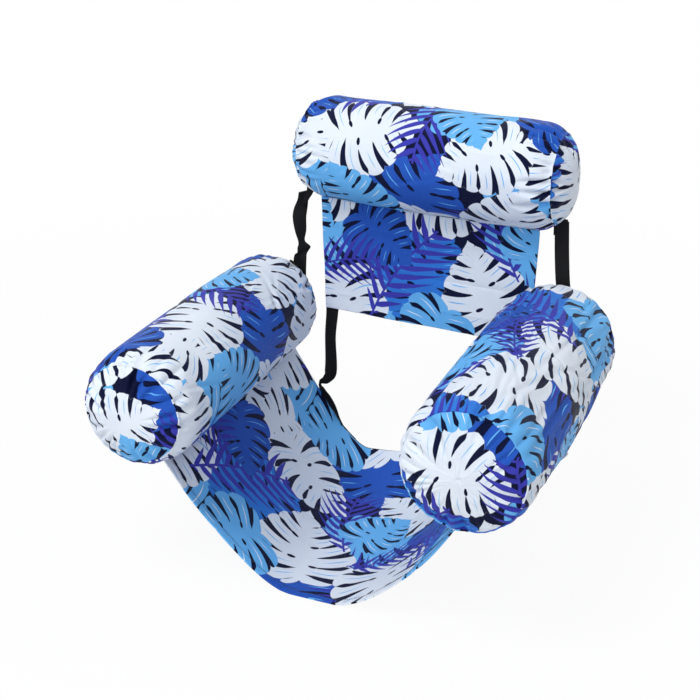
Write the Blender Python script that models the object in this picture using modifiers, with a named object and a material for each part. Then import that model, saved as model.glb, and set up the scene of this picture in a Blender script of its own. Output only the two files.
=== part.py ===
"""Inflatable pool chair: two armrest rolls, a headrest roll, a hung seat sling and a back panel.

Units are metres, +Z is up, the chair faces -Y and stands on Z = 0. Left is the -X side.
Every roll is a fabric sleeve with two sewn end caps around a PVC bladder with a plug valve.
"""

import math
from dataclasses import dataclass

import bmesh
import bpy
import numpy as np
from mathutils import Matrix, Vector

# Rolls: outer sizes of the inflated sleeves
ARM_LENGTH = 0.520
ARM_RADIUS = 0.104
ARM_SPACING = 0.520
ARM_HEIGHT = 0.310
HEAD_LENGTH = 0.476
HEAD_RADIUS = 0.090
HEAD_BEHIND = 0.056
HEAD_ABOVE = 0.275
ROLL_COLUMNS = 32
ARM_ROWS = 14
HEAD_ROWS = 12

# Form of a sleeve's end: the seam is drawn in and the fabric gathers beside it
RIM_DRAW = 0.013
SHOULDER = 0.034
CROWN = 0.003
CAP_BULGE = 0.017
PUCKER_DEPTH = 0.0045
PUCKER_PLACE = 0.014
PUCKERS = 8
CAP_PUCKER_DEPTH = 0.003
CAP_RING_SHARES = (0.0, 0.5, 0.82, 1.0)

# Materials' thicknesses and the clearances between sewn layers
FABRIC = 0.001
PVC = 0.001
SEAT_FABRIC = 0.002
HEM_FABRIC = 0.0008
WEBBING = 0.0015
WEBBING_WIDTH = 0.025
PIPING_RADIUS = 0.002
PIPING_SIDES = 4
TOUCH_GAP = 0.0003
MERGE_DISTANCE = 0.0001
SEAM_GAP = 0.0005
BLADDER_CLEARANCE = 0.0005
BLADDER_COLUMNS = 16
BLADDER_END_ROWS = 3
BLADDER_END_SHARES = (0.0, 0.55, 0.9)

# Seat sling
SEAT_WIDTH = 0.470
SEAT_FRONT = 0.045
SEAT_DEPTH = 0.460
SEAT_FLAT = 0.070
SEAT_CURVE_POWER = 2.2
SOLE_CUT = 0.0005
REAR_LIFT = 0.036
REAR_LIFT_LENGTH = 0.100
SEAT_COLUMNS = 28
SEAT_ROWS = 13
SECTION_STEPS = 400
HEM_WIDTH = 0.014
WEBBING_REACH_SHARE = 0.78
WEBBING_COLUMNS = 26
FOLD_GAP = 0.0009
FOLD_START_SHARE = 0.745
FOLD_END_SHARE = 0.815

# Back panel
PANEL_WIDTH = 0.410
PANEL_HEIGHT = 0.229
PANEL_FORWARD = 0.020
PANEL_FABRIC = 0.002
PANEL_BOW = 0.004
PANEL_COLUMNS = 10
PANEL_ROWS = 6
PANEL_HEM = 0.012
PANEL_HEM_ROWS = 7

# Webbing straps
UPPER_STRAP_SPACING = 0.486
LOWER_STRAP_SPACING = 0.380
STRAP_FOOT_RISE = 0.076
STRAP_TAB_LENGTH = 0.030
STRAP_TOP_FORWARD = 0.016
STRAP_TOP_BELOW = 0.083
HEAD_TAB_LENGTH = 0.022
HEAD_TAB_RISE = 0.005
STRAP_SWING_INSET = 0.012
STRAP_END_GAP = 0.0006
STRAP_LAP = 0.002
STRAP_LAP_GAP = 0.0009
STRAP_ROWS = 4
STRAP_COLUMNS = 2
TAB_CELLS = 4
FOLD_CELLS = 3

# Plug valves and the sleeve slots that they stand in
VALVE_TURN = math.radians(-45.0)
VALVE_FLANGE_RADIUS = 0.014
VALVE_FLANGE = 0.001
VALVE_STEM_RADIUS = 0.007
VALVE_STEM_HEIGHT = 0.008
VALVE_TAIL = 0.006
VALVE_BORE_RADIUS = 0.0046
VALVE_HOLE_CLEARANCE = 0.0005
VALVE_STEPS = 16
PLUG_CAP_RADIUS = 0.008
PLUG_CAP = 0.002
PLUG_SHANK_CLEARANCE = 0.0004
PLUG_SHANK_LENGTH = 0.006
SLOT_LENGTH = 0.080
SLOT_WIDTH = 0.034
SLOT_ROUND_SHARE = 0.94
SLOT_SEGMENTS = 5
CUT_OVERRUN = 0.012

# Derived places
DEPTH = CAP_BULGE + ARM_LENGTH + HEAD_BEHIND + HEAD_RADIUS
ARM_FRONT_Y = CAP_BULGE - DEPTH / 2
ARM_REAR_Y = ARM_FRONT_Y + ARM_LENGTH
HEAD_Y = ARM_REAR_Y + HEAD_BEHIND
HEAD_Z = ARM_HEIGHT + HEAD_ABOVE
RIM_CLEAR = PIPING_RADIUS + SEAM_GAP
SEAM_X = SEAT_WIDTH / 2
SEAM_REACH = ARM_RADIUS + SEAM_GAP + PIPING_RADIUS
SEAM_Z = ARM_HEIGHT - math.sqrt(SEAM_REACH ** 2 - (ARM_SPACING / 2 - SEAM_X) ** 2)
SEAT_TOP_Z = SEAM_Z - RIM_CLEAR
SEAT_FRONT_Y = ARM_FRONT_Y + SEAT_FRONT
SEAT_REAR_Y = SEAT_FRONT_Y + SEAT_DEPTH
PANEL_Y = HEAD_Y - PANEL_FORWARD
PANEL_SEAM_Z = HEAD_Z - math.sqrt((HEAD_RADIUS + SEAM_GAP + PIPING_RADIUS) ** 2 - PANEL_FORWARD ** 2)
PANEL_BOTTOM_Z = PANEL_SEAM_Z - PANEL_HEIGHT
STRAP_X = UPPER_STRAP_SPACING / 2
FOOT_Z = ARM_HEIGHT + STRAP_FOOT_RISE

COLOURS = {
    "printed_fabric": ((0.42, 0.56, 0.80, 1.0), 0.42),
    "black_webbing": ((0.012, 0.012, 0.014, 1.0), 0.75),
    "clear_pvc": ((0.72, 0.80, 0.86, 1.0), 0.18),
    "white_vinyl": ((0.86, 0.87, 0.88, 1.0), 0.35),
}


@dataclass(frozen=True)
class Roll:
    """One inflated roll: where it lies, its size and the directions around it."""

    name: str
    centre: Vector
    axis: Vector
    out: Vector
    length: float
    radius: float
    rows: int
    ends: tuple

    @property
    def rim(self):
        return self.radius - RIM_DRAW

    @property
    def cap_edge(self):
        return self.rim - RIM_CLEAR


def clear_scene():
    """Remove the objects, so the script gives the same model each time it runs."""
    for item in list(bpy.data.objects):
        bpy.data.objects.remove(item, do_unlink=True)


def new_collection(name):
    """Make a collection and link it to the scene."""
    collection = bpy.data.collections.new(name)
    bpy.context.scene.collection.children.link(collection)
    return collection


def make_materials():
    """Principled materials for the chair's fabric, webbing, film and valves."""
    made = {}
    for name, (colour, roughness) in COLOURS.items():
        material = bpy.data.materials.new(name)
        material.use_nodes = True
        shader = material.node_tree.nodes["Principled BSDF"]
        shader.inputs["Base Color"].default_value = colour
        shader.inputs["Roughness"].default_value = roughness
        shader.inputs["Metallic"].default_value = 0.0
        made[name] = material
    return made


def add_object(name, bm, material, group=None):
    """Turn a bmesh into a named object in the chair's collection."""
    mesh = bpy.data.meshes.new(name)
    bm.to_mesh(mesh)
    bm.free()
    mesh.shade_smooth()
    item = bpy.data.objects.new(name, mesh)
    (group or CHAIR).objects.link(item)
    if material:
        mesh.materials.append(MATERIALS[material])
    return item


def pivot(name, place):
    """An empty on a joint's axis, which carries the pieces that move with it."""
    empty = bpy.data.objects.new(name, None)
    empty.location = place
    CHAIR.objects.link(empty)
    return empty


def attach(empty, *items):
    """Parent pieces to a pivot and leave them where they are."""
    for item in items:
        item.parent = empty
        item.matrix_parent_inverse = Matrix.Translation(-empty.location)


def shaped_grid(columns, rows, shape, inside):
    """Bend a flat grid into a sheet: shape maps its shares (u, v) to points.

    Doubles are merged, so a sheet may close on itself or on a pole. Faces point away from inside.
    """
    bm = bmesh.new()
    bmesh.ops.create_grid(bm, x_segments=columns, y_segments=rows, size=1.0)
    flat = np.array([v.co[:2] for v in bm.verts])
    shares = (flat + 1.0) / 2.0
    for vert, point in zip(bm.verts, shape(shares[:, 0], shares[:, 1])):
        vert.co = point
    bmesh.ops.remove_doubles(bm, verts=bm.verts, dist=MERGE_DISTANCE)
    bm.normal_update()
    facing = sum(f.calc_area() * f.normal.dot(f.calc_center_median() - inside) for f in bm.faces)
    if facing < 0.0:
        bmesh.ops.reverse_faces(bm, faces=bm.faces)
    return bm


def thicken(item, thickness, outward=False):
    """Give a sheet its thickness, towards its inner or its outer side."""
    solidify = item.modifiers.new("Thickness", "SOLIDIFY")
    solidify.thickness = thickness
    solidify.offset = 1.0 if outward else -1.0
    solidify.use_even_offset = True
    return item


def subtract(item, cutter):
    """Cut one solid from another with an exact Boolean."""
    cut = item.modifiers.new("Cut " + cutter.name, "BOOLEAN")
    cut.operation = "DIFFERENCE"
    cut.object = cutter
    cut.solver = "EXACT"


def hide_cutter(cutter):
    """Keep a cutter out of the model."""
    cutter.hide_render = True
    cutter.display_type = "WIRE"
    return cutter


def roll_points(roll, along, radius, turn):
    """World points at a distance along a roll's axis, a radius and a turn from its outer side."""
    centre, axis, out = (np.array(v) for v in (roll.centre, roll.axis, roll.out))
    up = np.array((0.0, 0.0, 1.0))
    around = np.outer(radius * np.cos(turn), out) + np.outer(radius * np.sin(turn), up)
    return centre + np.outer(along, axis) + around


def sleeve_radius(roll, along, turn=None):
    """Outer radius: rounded shoulders, a low crown and gathers that fade from the end seams.

    With no turn it gives the radius at the bottom of a gather, all the way round.
    """
    from_seam = roll.length / 2 - np.abs(along)
    shoulder = np.sin(np.clip(from_seam / SHOULDER, 0.0, 1.0) * math.pi / 2)
    body = roll.rim + (RIM_DRAW - CROWN) * shoulder
    crown = CROWN * np.sin(np.clip(from_seam / roll.length, 0.0, 1.0) * math.pi)
    gather = from_seam / PUCKER_PLACE * np.exp(1.0 - from_seam / PUCKER_PLACE)
    wave = 1.0 if turn is None else (1.0 - np.cos(PUCKERS * turn)) / 2
    return body + crown - PUCKER_DEPTH * gather * wave


def cap_rise(roll, radius):
    """Height of an end cap's dome over its seam."""
    return CAP_BULGE * (1.0 - (radius / roll.cap_edge) ** 2)


def sleeve_stations(roll):
    """Distances along the axis, close together near the seams."""
    half = roll.length / 2 - RIM_CLEAR
    return -half * np.cos(np.linspace(0.0, math.pi, roll.rows + 1))


def make_sleeve(roll):
    """Fabric tube of a roll, with the slot that its valve stands in."""
    stations = sleeve_stations(roll)

    def shape(u, v):
        along = stations[np.rint(v * roll.rows).astype(int)]
        turn = u * math.tau
        return roll_points(roll, along, sleeve_radius(roll, along, turn), turn)

    bm = shaped_grid(ROLL_COLUMNS, roll.rows, shape, roll.centre)
    sleeve = thicken(add_object(roll.name + "_sleeve", bm, "printed_fabric"), FABRIC)
    subtract(sleeve, slot_cutter(roll))
    return sleeve


def make_cap(roll, side, end_name):
    """Domed end disc with gathers between its seam and its middle."""
    rings = np.array(CAP_RING_SHARES)
    count = len(rings) - 1

    def shape(u, v):
        share = rings[np.rint(v * count).astype(int)]
        turn = u * math.tau
        radius = share * roll.cap_edge
        fold = 4.0 * share ** 3 * (1.0 - share) * (1.0 - np.cos(PUCKERS * turn)) / 2
        height = cap_rise(roll, radius) - CAP_PUCKER_DEPTH * fold
        return roll_points(roll, side * (roll.length / 2 + height), radius, turn)

    bm = shaped_grid(ROLL_COLUMNS, count, shape, roll.centre)
    return thicken(add_object(f"{roll.name}_{end_name}_cap", bm, "printed_fabric"), FABRIC)


def make_piping(roll, side, end_name):
    """Corded seam between a sleeve and its end cap."""
    def shape(u, v):
        around, turn = v * math.tau, u * math.tau
        along = side * roll.length / 2 + PIPING_RADIUS * np.sin(around)
        return roll_points(roll, along, roll.rim + PIPING_RADIUS * np.cos(around), turn)

    bm = shaped_grid(ROLL_COLUMNS, PIPING_SIDES, shape, roll.centre)
    bmesh.ops.recalc_face_normals(bm, faces=bm.faces)
    return add_object(f"{roll.name}_{end_name}_piping", bm, "printed_fabric")


def bladder_profile(roll):
    """Stations and radii of the bladder: domed ends inside the caps, sides inside the sleeve."""
    inset = FABRIC + BLADDER_CLEARANCE
    stations = sleeve_stations(roll)[1:-1]
    ends = BLADDER_END_ROWS
    along = np.concatenate((stations[:ends], stations[ends:-ends][1::2], stations[-ends:]))
    radius = sleeve_radius(roll, along) - inset
    end_radius = np.array(BLADDER_END_SHARES) * radius[0]
    end_along = roll.length / 2 + cap_rise(roll, end_radius) - CAP_PUCKER_DEPTH - inset
    stations = np.concatenate((-end_along, along, end_along[::-1]))
    radii = np.concatenate((end_radius, radius, end_radius[::-1]))
    return stations, radii


def make_bladder(roll):
    """PVC air bladder, open at the hole that its valve is welded into."""
    stations, radii = bladder_profile(roll)
    rows = len(stations) - 1

    def shape(u, v):
        row = np.rint(v * rows).astype(int)
        return roll_points(roll, stations[row], radii[row], u * math.tau)

    bm = shaped_grid(BLADDER_COLUMNS, rows, shape, roll.centre)
    bladder = thicken(add_object(roll.name + "_bladder", bm, "clear_pvc"), PVC)
    subtract(bladder, hole_cutter(roll))
    return bladder


def valve_matrix(roll):
    """Frame of a valve: its origin on the bladder's crown, its Z pointing out of the roll."""
    outward = roll.out * math.cos(VALVE_TURN) + Vector((0.0, 0.0, 1.0)) * math.sin(VALVE_TURN)
    reach = roll.radius - FABRIC - BLADDER_CLEARANCE
    across = roll.axis.cross(outward)
    turn = Matrix((roll.axis, -across, outward)).transposed()
    if turn.determinant() < 0.0:
        turn = Matrix((roll.axis, across, outward)).transposed()
    return Matrix.Translation(roll.centre + outward * reach) @ turn.to_4x4()


def slot_cutter(roll):
    """Round-ended block through the sleeve wall, around the valve."""
    bm = bmesh.new()
    bmesh.ops.create_cube(bm, size=1.0)
    bmesh.ops.scale(bm, vec=(SLOT_LENGTH, SLOT_WIDTH, CUT_OVERRUN * 2), verts=bm.verts)
    upright = [e for e in bm.edges if abs(e.verts[0].co.z - e.verts[1].co.z) > CUT_OVERRUN]
    bmesh.ops.bevel(bm, geom=upright, offset=SLOT_WIDTH / 2 * SLOT_ROUND_SHARE,
                    segments=SLOT_SEGMENTS, profile=0.5, affect="EDGES")
    cutter = add_object(roll.name + "_slot_cutter", bm, None, CUTTERS)
    cutter.matrix_world = valve_matrix(roll)
    return hide_cutter(cutter)


def hole_cutter(roll):
    """Round hole through the bladder wall for the valve's tail."""
    radius = VALVE_STEM_RADIUS + VALVE_HOLE_CLEARANCE
    bm = bmesh.new()
    bmesh.ops.create_cone(bm, cap_ends=True, segments=VALVE_STEPS, radius1=radius,
                          radius2=radius, depth=CUT_OVERRUN)
    cutter = add_object(roll.name + "_hole_cutter", bm, None, CUTTERS)
    cutter.matrix_world = valve_matrix(roll)
    return hide_cutter(cutter)


def turned(name, profile, closed, material, place):
    """Turn a profile, listed down its outer side, about its Z axis."""
    bm = bmesh.new()
    verts = [bm.verts.new((radius, 0.0, height)) for radius, height in profile]
    pairs = list(zip(verts, verts[1:]))
    if closed:
        pairs.append((verts[-1], verts[0]))
    for first, second in pairs:
        bm.edges.new((first, second))
    item = add_object(name, bm, material)
    screw = item.modifiers.new("Turn", "SCREW")
    screw.steps = VALVE_STEPS
    screw.render_steps = VALVE_STEPS
    screw.use_merge_vertices = True
    screw.merge_threshold = MERGE_DISTANCE
    item.matrix_world = place
    return item


def make_valve(roll):
    """Valve body: welding flange, stem and bore, with a tail into the bladder."""
    flange_top = TOUCH_GAP + VALVE_FLANGE
    profile = [
        (VALVE_STEM_RADIUS, VALVE_STEM_HEIGHT),
        (VALVE_STEM_RADIUS, flange_top),
        (VALVE_FLANGE_RADIUS, flange_top),
        (VALVE_FLANGE_RADIUS, TOUCH_GAP),
        (VALVE_STEM_RADIUS, TOUCH_GAP),
        (VALVE_STEM_RADIUS, -VALVE_TAIL),
        (VALVE_BORE_RADIUS, -VALVE_TAIL),
        (VALVE_BORE_RADIUS, VALVE_STEM_HEIGHT),
    ]
    return turned(roll.name + "_valve", profile, True, "white_vinyl", valve_matrix(roll))


def make_plug(roll):
    """Plug that closes the valve's bore; it pulls straight out."""
    shank = VALVE_BORE_RADIUS - PLUG_SHANK_CLEARANCE
    seat = VALVE_STEM_HEIGHT + TOUCH_GAP
    profile = [
        (0.0, seat + PLUG_CAP),
        (PLUG_CAP_RADIUS - PLUG_CAP / 2, seat + PLUG_CAP),
        (PLUG_CAP_RADIUS, seat + PLUG_CAP / 2),
        (PLUG_CAP_RADIUS, seat),
        (shank, seat),
        (shank, seat - PLUG_SHANK_LENGTH),
        (0.0, seat - PLUG_SHANK_LENGTH),
    ]
    return turned(roll.name + "_valve_plug", profile, False, "white_vinyl", valve_matrix(roll))


def make_roll(roll):
    """All the pieces of one roll, and its plug by itself."""
    pieces = [make_sleeve(roll), make_bladder(roll), make_valve(roll)]
    for side, end_name in zip((-1.0, 1.0), roll.ends):
        pieces.append(make_cap(roll, side, end_name))
        pieces.append(make_piping(roll, side, end_name))
    return pieces, make_plug(roll)


def section_table():
    """Half widths of the sling's section at even steps of its girth."""
    width = np.linspace(0.0, SEAM_X, SECTION_STEPS)
    bend = np.clip((width - SEAT_FLAT / 2) / (SEAM_X - SEAT_FLAT / 2), 0.0, 1.0)
    height = SEAT_TOP_Z * bend ** SEAT_CURVE_POWER
    girth = np.concatenate(([0.0], np.cumsum(np.hypot(np.diff(width), np.diff(height)))))
    return girth / girth[-1], width


def sling_points(girth_share, y):
    """Outer side of the sling, girth_share running from -1 at its left seam to 1 at its right.

    The section is flat under the sitter and rises as a power curve. Its rear end lifts off
    the floor, and the whole is cut flat where it rests.
    """
    shares, widths = SECTION
    half = np.interp(np.abs(girth_share), shares, widths)
    lifted = np.clip((y - SEAT_REAR_Y + REAR_LIFT_LENGTH) / REAR_LIFT_LENGTH, 0.0, None)
    lift = REAR_LIFT * lifted ** 2
    bend = np.clip((half - SEAT_FLAT / 2) / (SEAM_X - SEAT_FLAT / 2), 0.0, 1.0)
    height = lift + (SEAT_TOP_Z + SOLE_CUT - lift) * bend ** SEAT_CURVE_POWER - SOLE_CUT
    return np.stack((np.sign(girth_share) * half, y + 0.0 * half, np.maximum(height, 0.0)), 1)


def sling_offset(girth_share, y, distance):
    """Points at a distance from the sling's outer side, positive away from the sitter."""
    step = SEAT_FLAT / SEAT_DEPTH * TOUCH_GAP
    along = sling_points(girth_share + step, y) - sling_points(girth_share - step, y)
    back = sling_points(girth_share, y + TOUCH_GAP) - sling_points(girth_share, y - TOUCH_GAP)
    normal = np.cross(back, along)
    normal /= np.linalg.norm(normal, axis=1)[:, None]
    return sling_points(girth_share, y) + normal * distance


def make_sling():
    """Seat sling hung between the armrest rolls."""
    def shape(u, v):
        return sling_points(2.0 * u - 1.0, SEAT_FRONT_Y + v * SEAT_DEPTH)

    bm = shaped_grid(SEAT_COLUMNS, SEAT_ROWS, shape, SITTER)
    return thicken(add_object("seat_sling", bm, "printed_fabric"), SEAT_FABRIC)


def make_front_hem():
    """Folded hem on the sling's inner side, along its front edge."""
    def shape(u, v):
        y = SEAT_FRONT_Y + v * HEM_WIDTH
        return sling_offset(2.0 * u - 1.0, y, -(SEAT_FABRIC + TOUCH_GAP))

    bm = shaped_grid(SEAT_COLUMNS, 1, shape, SITTER)
    return thicken(add_object("seat_front_hem", bm, "printed_fabric"), HEM_FABRIC)


def make_rear_webbing():
    """Webbing sewn under the sling's rear edge, from flank to flank."""
    def shape(u, v):
        y = SEAT_REAR_Y - WEBBING_WIDTH + v * WEBBING_WIDTH
        return sling_offset((2.0 * u - 1.0) * WEBBING_REACH_SHARE, y, TOUCH_GAP)

    bm = shaped_grid(WEBBING_COLUMNS, 2, shape, SITTER)
    return thicken(add_object("seat_rear_webbing", bm, "black_webbing"), WEBBING, True)


def make_seat_seam(side, side_name):
    """Corded seam that joins the sling's edge to the underside of an armrest sleeve."""
    bm = bmesh.new()
    bmesh.ops.create_cone(bm, cap_ends=True, segments=PIPING_SIDES * 2, radius1=PIPING_RADIUS,
                          radius2=PIPING_RADIUS, depth=SEAT_DEPTH)
    seam = add_object(side_name + "_seat_seam", bm, "printed_fabric")
    seam.rotation_euler.x = math.radians(90.0)
    seam.location = (side * SEAM_X, SEAT_FRONT_Y + SEAT_DEPTH / 2, SEAM_Z)
    return seam


def strap_sheet(foot, top, width, columns, rows):
    """Flat strap from its foot to its top, its width along X."""
    foot, top = np.array(foot), np.array(top)

    def shape(u, v):
        middle = foot + np.outer(v, top - foot)
        return middle + np.outer((u - 0.5) * width, (1.0, 0.0, 0.0))

    return shaped_grid(columns, rows, shape, Vector((0.0, 0.0, ARM_HEIGHT)))


def make_strap(name, foot, top):
    """Webbing strap whose middle plane runs through its foot and top lines."""
    bm = strap_sheet(foot, top, WEBBING_WIDTH, STRAP_COLUMNS, STRAP_ROWS)
    strap = thicken(add_object(name, bm, "black_webbing"), WEBBING)
    strap.modifiers["Thickness"].offset = 0.0
    return strap


def arm_tab_y(roll, x, z):
    """Y of the outer side of an armrest's rear cap."""
    radius = np.hypot(x - roll.centre.x, z - roll.centre.z)
    return ARM_REAR_Y + cap_rise(roll, radius)


def make_arm_tab(roll, side, side_name):
    """Webbing tab sewn on an armrest's rear cap, where the upper strap starts."""
    def shape(u, v):
        x = side * STRAP_X + (u - 0.5) * WEBBING_WIDTH
        z = FOOT_Z + STRAP_LAP - v * STRAP_TAB_LENGTH
        return np.stack((x, arm_tab_y(roll, x, z) + TOUCH_GAP, z), 1)

    bm = shaped_grid(TAB_CELLS, TAB_CELLS, shape, roll.centre)
    return thicken(add_object(side_name + "_armrest_strap_tab", bm, "black_webbing"), WEBBING, True)


def strap_line():
    """Foot and top of the upper straps in the YZ plane, and the direction between them."""
    foot = Vector((0.0, STRAP_FOOT_Y, FOOT_Z))
    top = Vector((0.0, HEAD_Y - STRAP_TOP_FORWARD, HEAD_Z - STRAP_TOP_BELOW))
    return foot, top, (top - foot).normalized()


def make_head_tab(side, side_name):
    """Webbing tab at the headrest's end seam, in front of the upper strap's top."""
    foot, top, run = strap_line()
    forward = Vector((0.0, -run.z, run.y))
    shift = forward * (WEBBING + TOUCH_GAP) + Vector((side * STRAP_X, 0.0, 0.0))
    end = top + run * HEAD_TAB_RISE
    name = f"headrest_{side_name}_strap_tab"
    return make_strap(name, end - run * HEAD_TAB_LENGTH + shift, end + shift)


def make_strap_fold(side, side_name):
    """Folded webbing from the sling's rear edge back to the lower strap's foot."""
    def shape(u, v):
        share = FOLD_START_SHARE + u * (FOLD_END_SHARE - FOLD_START_SHARE)
        edge = sling_offset(side * share, SEAT_REAR_Y + 0.0 * u, -SEAT_FABRIC / 2)
        edge[:, 1] = SEAT_REAR_Y + FOLD_GAP
        x = side * LOWER_STRAP_SPACING / 2 + side * (u - 0.5) * WEBBING_WIDTH
        bend = np.stack((x, STRAP_FOOT_Y - STRAP_END_GAP + 0.0 * u, BEND_Z - WEBBING / 2 + 0.0 * u), 1)
        return edge + v[:, None] * (bend - edge)

    bm = shaped_grid(FOLD_CELLS, FOLD_CELLS, shape, SITTER)
    fold = thicken(add_object(side_name + "_strap_fold", bm, "black_webbing"), WEBBING)
    fold.modifiers["Thickness"].offset = 0.0
    return fold


def panel_points(x, z):
    """Front side of the back panel, which bows backwards between its sides."""
    bow = PANEL_BOW * (1.0 - (x / (PANEL_WIDTH / 2)) ** 2)
    hang = np.sin(np.clip((PANEL_SEAM_Z - z) / PANEL_HEIGHT, 0.0, 1.0) * math.pi)
    return np.stack((x, PANEL_Y - PANEL_FABRIC / 2 + bow * hang, z), 1)


def make_panel():
    """Fabric back panel that hangs from the seam under the headrest."""
    top = PANEL_SEAM_Z - RIM_CLEAR

    def shape(u, v):
        return panel_points((u - 0.5) * PANEL_WIDTH, PANEL_BOTTOM_Z + v * (top - PANEL_BOTTOM_Z))

    bm = shaped_grid(PANEL_COLUMNS, PANEL_ROWS, shape, SITTER)
    return thicken(add_object("back_panel", bm, "printed_fabric"), PANEL_FABRIC, True)


def make_panel_hem(name, corner, size, columns, rows):
    """Folded hem on the panel's rear side, from a corner (x, z) over a size (x, z)."""
    def shape(u, v):
        points = panel_points(corner[0] + u * size[0], corner[1] + v * size[1])
        points[:, 1] += PANEL_FABRIC + TOUCH_GAP
        return points

    bm = shaped_grid(columns, rows, shape, SITTER)
    return thicken(add_object(name, bm, "printed_fabric"), HEM_FABRIC, True)


def make_panel_hems():
    """Hems down both sides of the panel and along its bottom edge."""
    side_height = PANEL_HEIGHT - PANEL_HEM - RIM_CLEAR - SEAM_GAP
    side_z = PANEL_BOTTOM_Z + PANEL_HEM + SEAM_GAP
    half = PANEL_WIDTH / 2
    across = make_panel_hem("back_panel_bottom_hem", (-half, PANEL_BOTTOM_Z),
                            (PANEL_WIDTH, PANEL_HEM), PANEL_COLUMNS, 1)
    left = make_panel_hem("back_panel_left_hem", (-half, side_z),
                          (PANEL_HEM, side_height), 1, PANEL_HEM_ROWS)
    right = make_panel_hem("back_panel_right_hem", (half - PANEL_HEM, side_z),
                           (PANEL_HEM, side_height), 1, PANEL_HEM_ROWS)
    return [across, left, right]


def make_panel_seam():
    """Corded seam along the panel's top, on the line where it hinges under the headrest."""
    bm = bmesh.new()
    bmesh.ops.create_cone(bm, cap_ends=True, segments=PIPING_SIDES * 2, radius1=PIPING_RADIUS,
                          radius2=PIPING_RADIUS, depth=PANEL_WIDTH)
    seam = add_object("back_panel_top_seam", bm, "printed_fabric")
    seam.rotation_euler.y = math.radians(90.0)
    seam.location = (0.0, PANEL_Y, PANEL_SEAM_Z)
    return seam


def build_seat():
    """Sling, hem, webbing and seams, which stay still."""
    make_sling()
    make_front_hem()
    make_rear_webbing()
    for side, side_name in SIDES:
        make_seat_seam(side, side_name)
        make_strap_fold(side, side_name)


def build_armrest(side, side_name):
    """An armrest roll that leans about its seat seam."""
    roll = arm_roll(side, side_name)
    pieces, plug = make_roll(roll)
    pieces.append(make_arm_tab(roll, side, side_name))
    lean = pivot(side_name + "_armrest_pivot", (side * SEAM_X, 0.0, SEAM_Z))
    attach(lean, *pieces)
    slide = pivot(side_name + "_plug_pivot", valve_matrix(roll).to_translation())
    attach(slide, plug)


def build_headrest():
    """Headrest roll with its tabs; it reclines about the feet of the upper straps."""
    roll = Roll("headrest", Vector((0.0, HEAD_Y, HEAD_Z)), Vector((1.0, 0.0, 0.0)),
                Vector((0.0, 1.0, 0.0)), HEAD_LENGTH, HEAD_RADIUS, HEAD_ROWS, ("left", "right"))
    pieces, plug = make_roll(roll)
    pieces += [make_head_tab(side, side_name) for side, side_name in SIDES]
    attach(pivot("recline_pivot", (0.0, STRAP_FOOT_Y, FOOT_Z)), *pieces)
    attach(pivot("headrest_plug_pivot", valve_matrix(roll).to_translation()), plug)


def build_panel():
    """Back panel with its hems, hinged on its top seam."""
    pieces = [make_panel(), make_panel_seam()] + make_panel_hems()
    attach(pivot("panel_pivot", (0.0, PANEL_Y, PANEL_SEAM_Z)), *pieces)


def build_straps(side, side_name):
    """Upper strap from headrest to armrest and lower strap from sling to panel."""
    foot, top, run = strap_line()
    across = Vector((side * STRAP_X, 0.0, 0.0))
    upper = make_strap(side_name + "_upper_strap", foot + across, top + across)
    swing = pivot(side_name + "_upper_strap_pivot", top - run * STRAP_SWING_INSET + across)
    attach(swing, upper)
    across = Vector((side * LOWER_STRAP_SPACING / 2, 0.0, 0.0))
    bend = Vector((0.0, STRAP_FOOT_Y, BEND_Z))
    corner = Vector((0.0, PANEL_Y, PANEL_BOTTOM_Z))
    stop = (corner - bend).normalized() * (WEBBING / 2 + STRAP_END_GAP)
    lower = make_strap(side_name + "_lower_strap", bend + across, corner - stop + across)
    attach(pivot(side_name + "_lower_strap_pivot", bend + across), lower)


def arm_roll(side, side_name):
    """The roll of one armrest, its outer side away from the seat."""
    centre = Vector((side * ARM_SPACING / 2, ARM_FRONT_Y + ARM_LENGTH / 2, ARM_HEIGHT))
    return Roll(side_name + "_armrest", centre, Vector((0.0, 1.0, 0.0)), Vector((side, 0.0, 0.0)),
                ARM_LENGTH, ARM_RADIUS, ARM_ROWS, ("front", "rear"))


SIDES = ((-1.0, "left"), (1.0, "right"))
SITTER = Vector((0.0, SEAT_FRONT_Y + SEAT_DEPTH / 2, ARM_HEIGHT))
SECTION = section_table()
STRAP_FOOT_Y = (float(arm_tab_y(arm_roll(1.0, "right"), STRAP_X + WEBBING_WIDTH / 2, FOOT_Z))
                + TOUCH_GAP + STRAP_LAP_GAP + WEBBING * 3 / 2)
BEND_Z = PANEL_BOTTOM_Z - (PANEL_SEAM_Z - FOOT_Z)

clear_scene()
CHAIR = new_collection("Inflatable pool chair")
CUTTERS = new_collection("Cutters")
MATERIALS = make_materials()
build_seat()
for chair_side, chair_side_name in SIDES:
    build_armrest(chair_side, chair_side_name)
    build_straps(chair_side, chair_side_name)
build_headrest()
build_panel()
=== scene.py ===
"""Looks of the inflatable pool chair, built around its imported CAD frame.

Units are metres in the frame's axes: +Z is up, the chair faces -Y and its left side is -X.
Every fabric piece is a surface worked out with numpy, and carries cloth coordinates in metres
in its UV map. One tropical leaf print, made of node maths, is cut from the same cloth for all.
"""

import logging
import math
from dataclasses import dataclass
from enum import Enum
from functools import partialmethod
from typing import Optional, Sequence

import bmesh
import bpy
import numpy as np
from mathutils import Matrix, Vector
from mathutils.bvhtree import BVHTree


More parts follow.
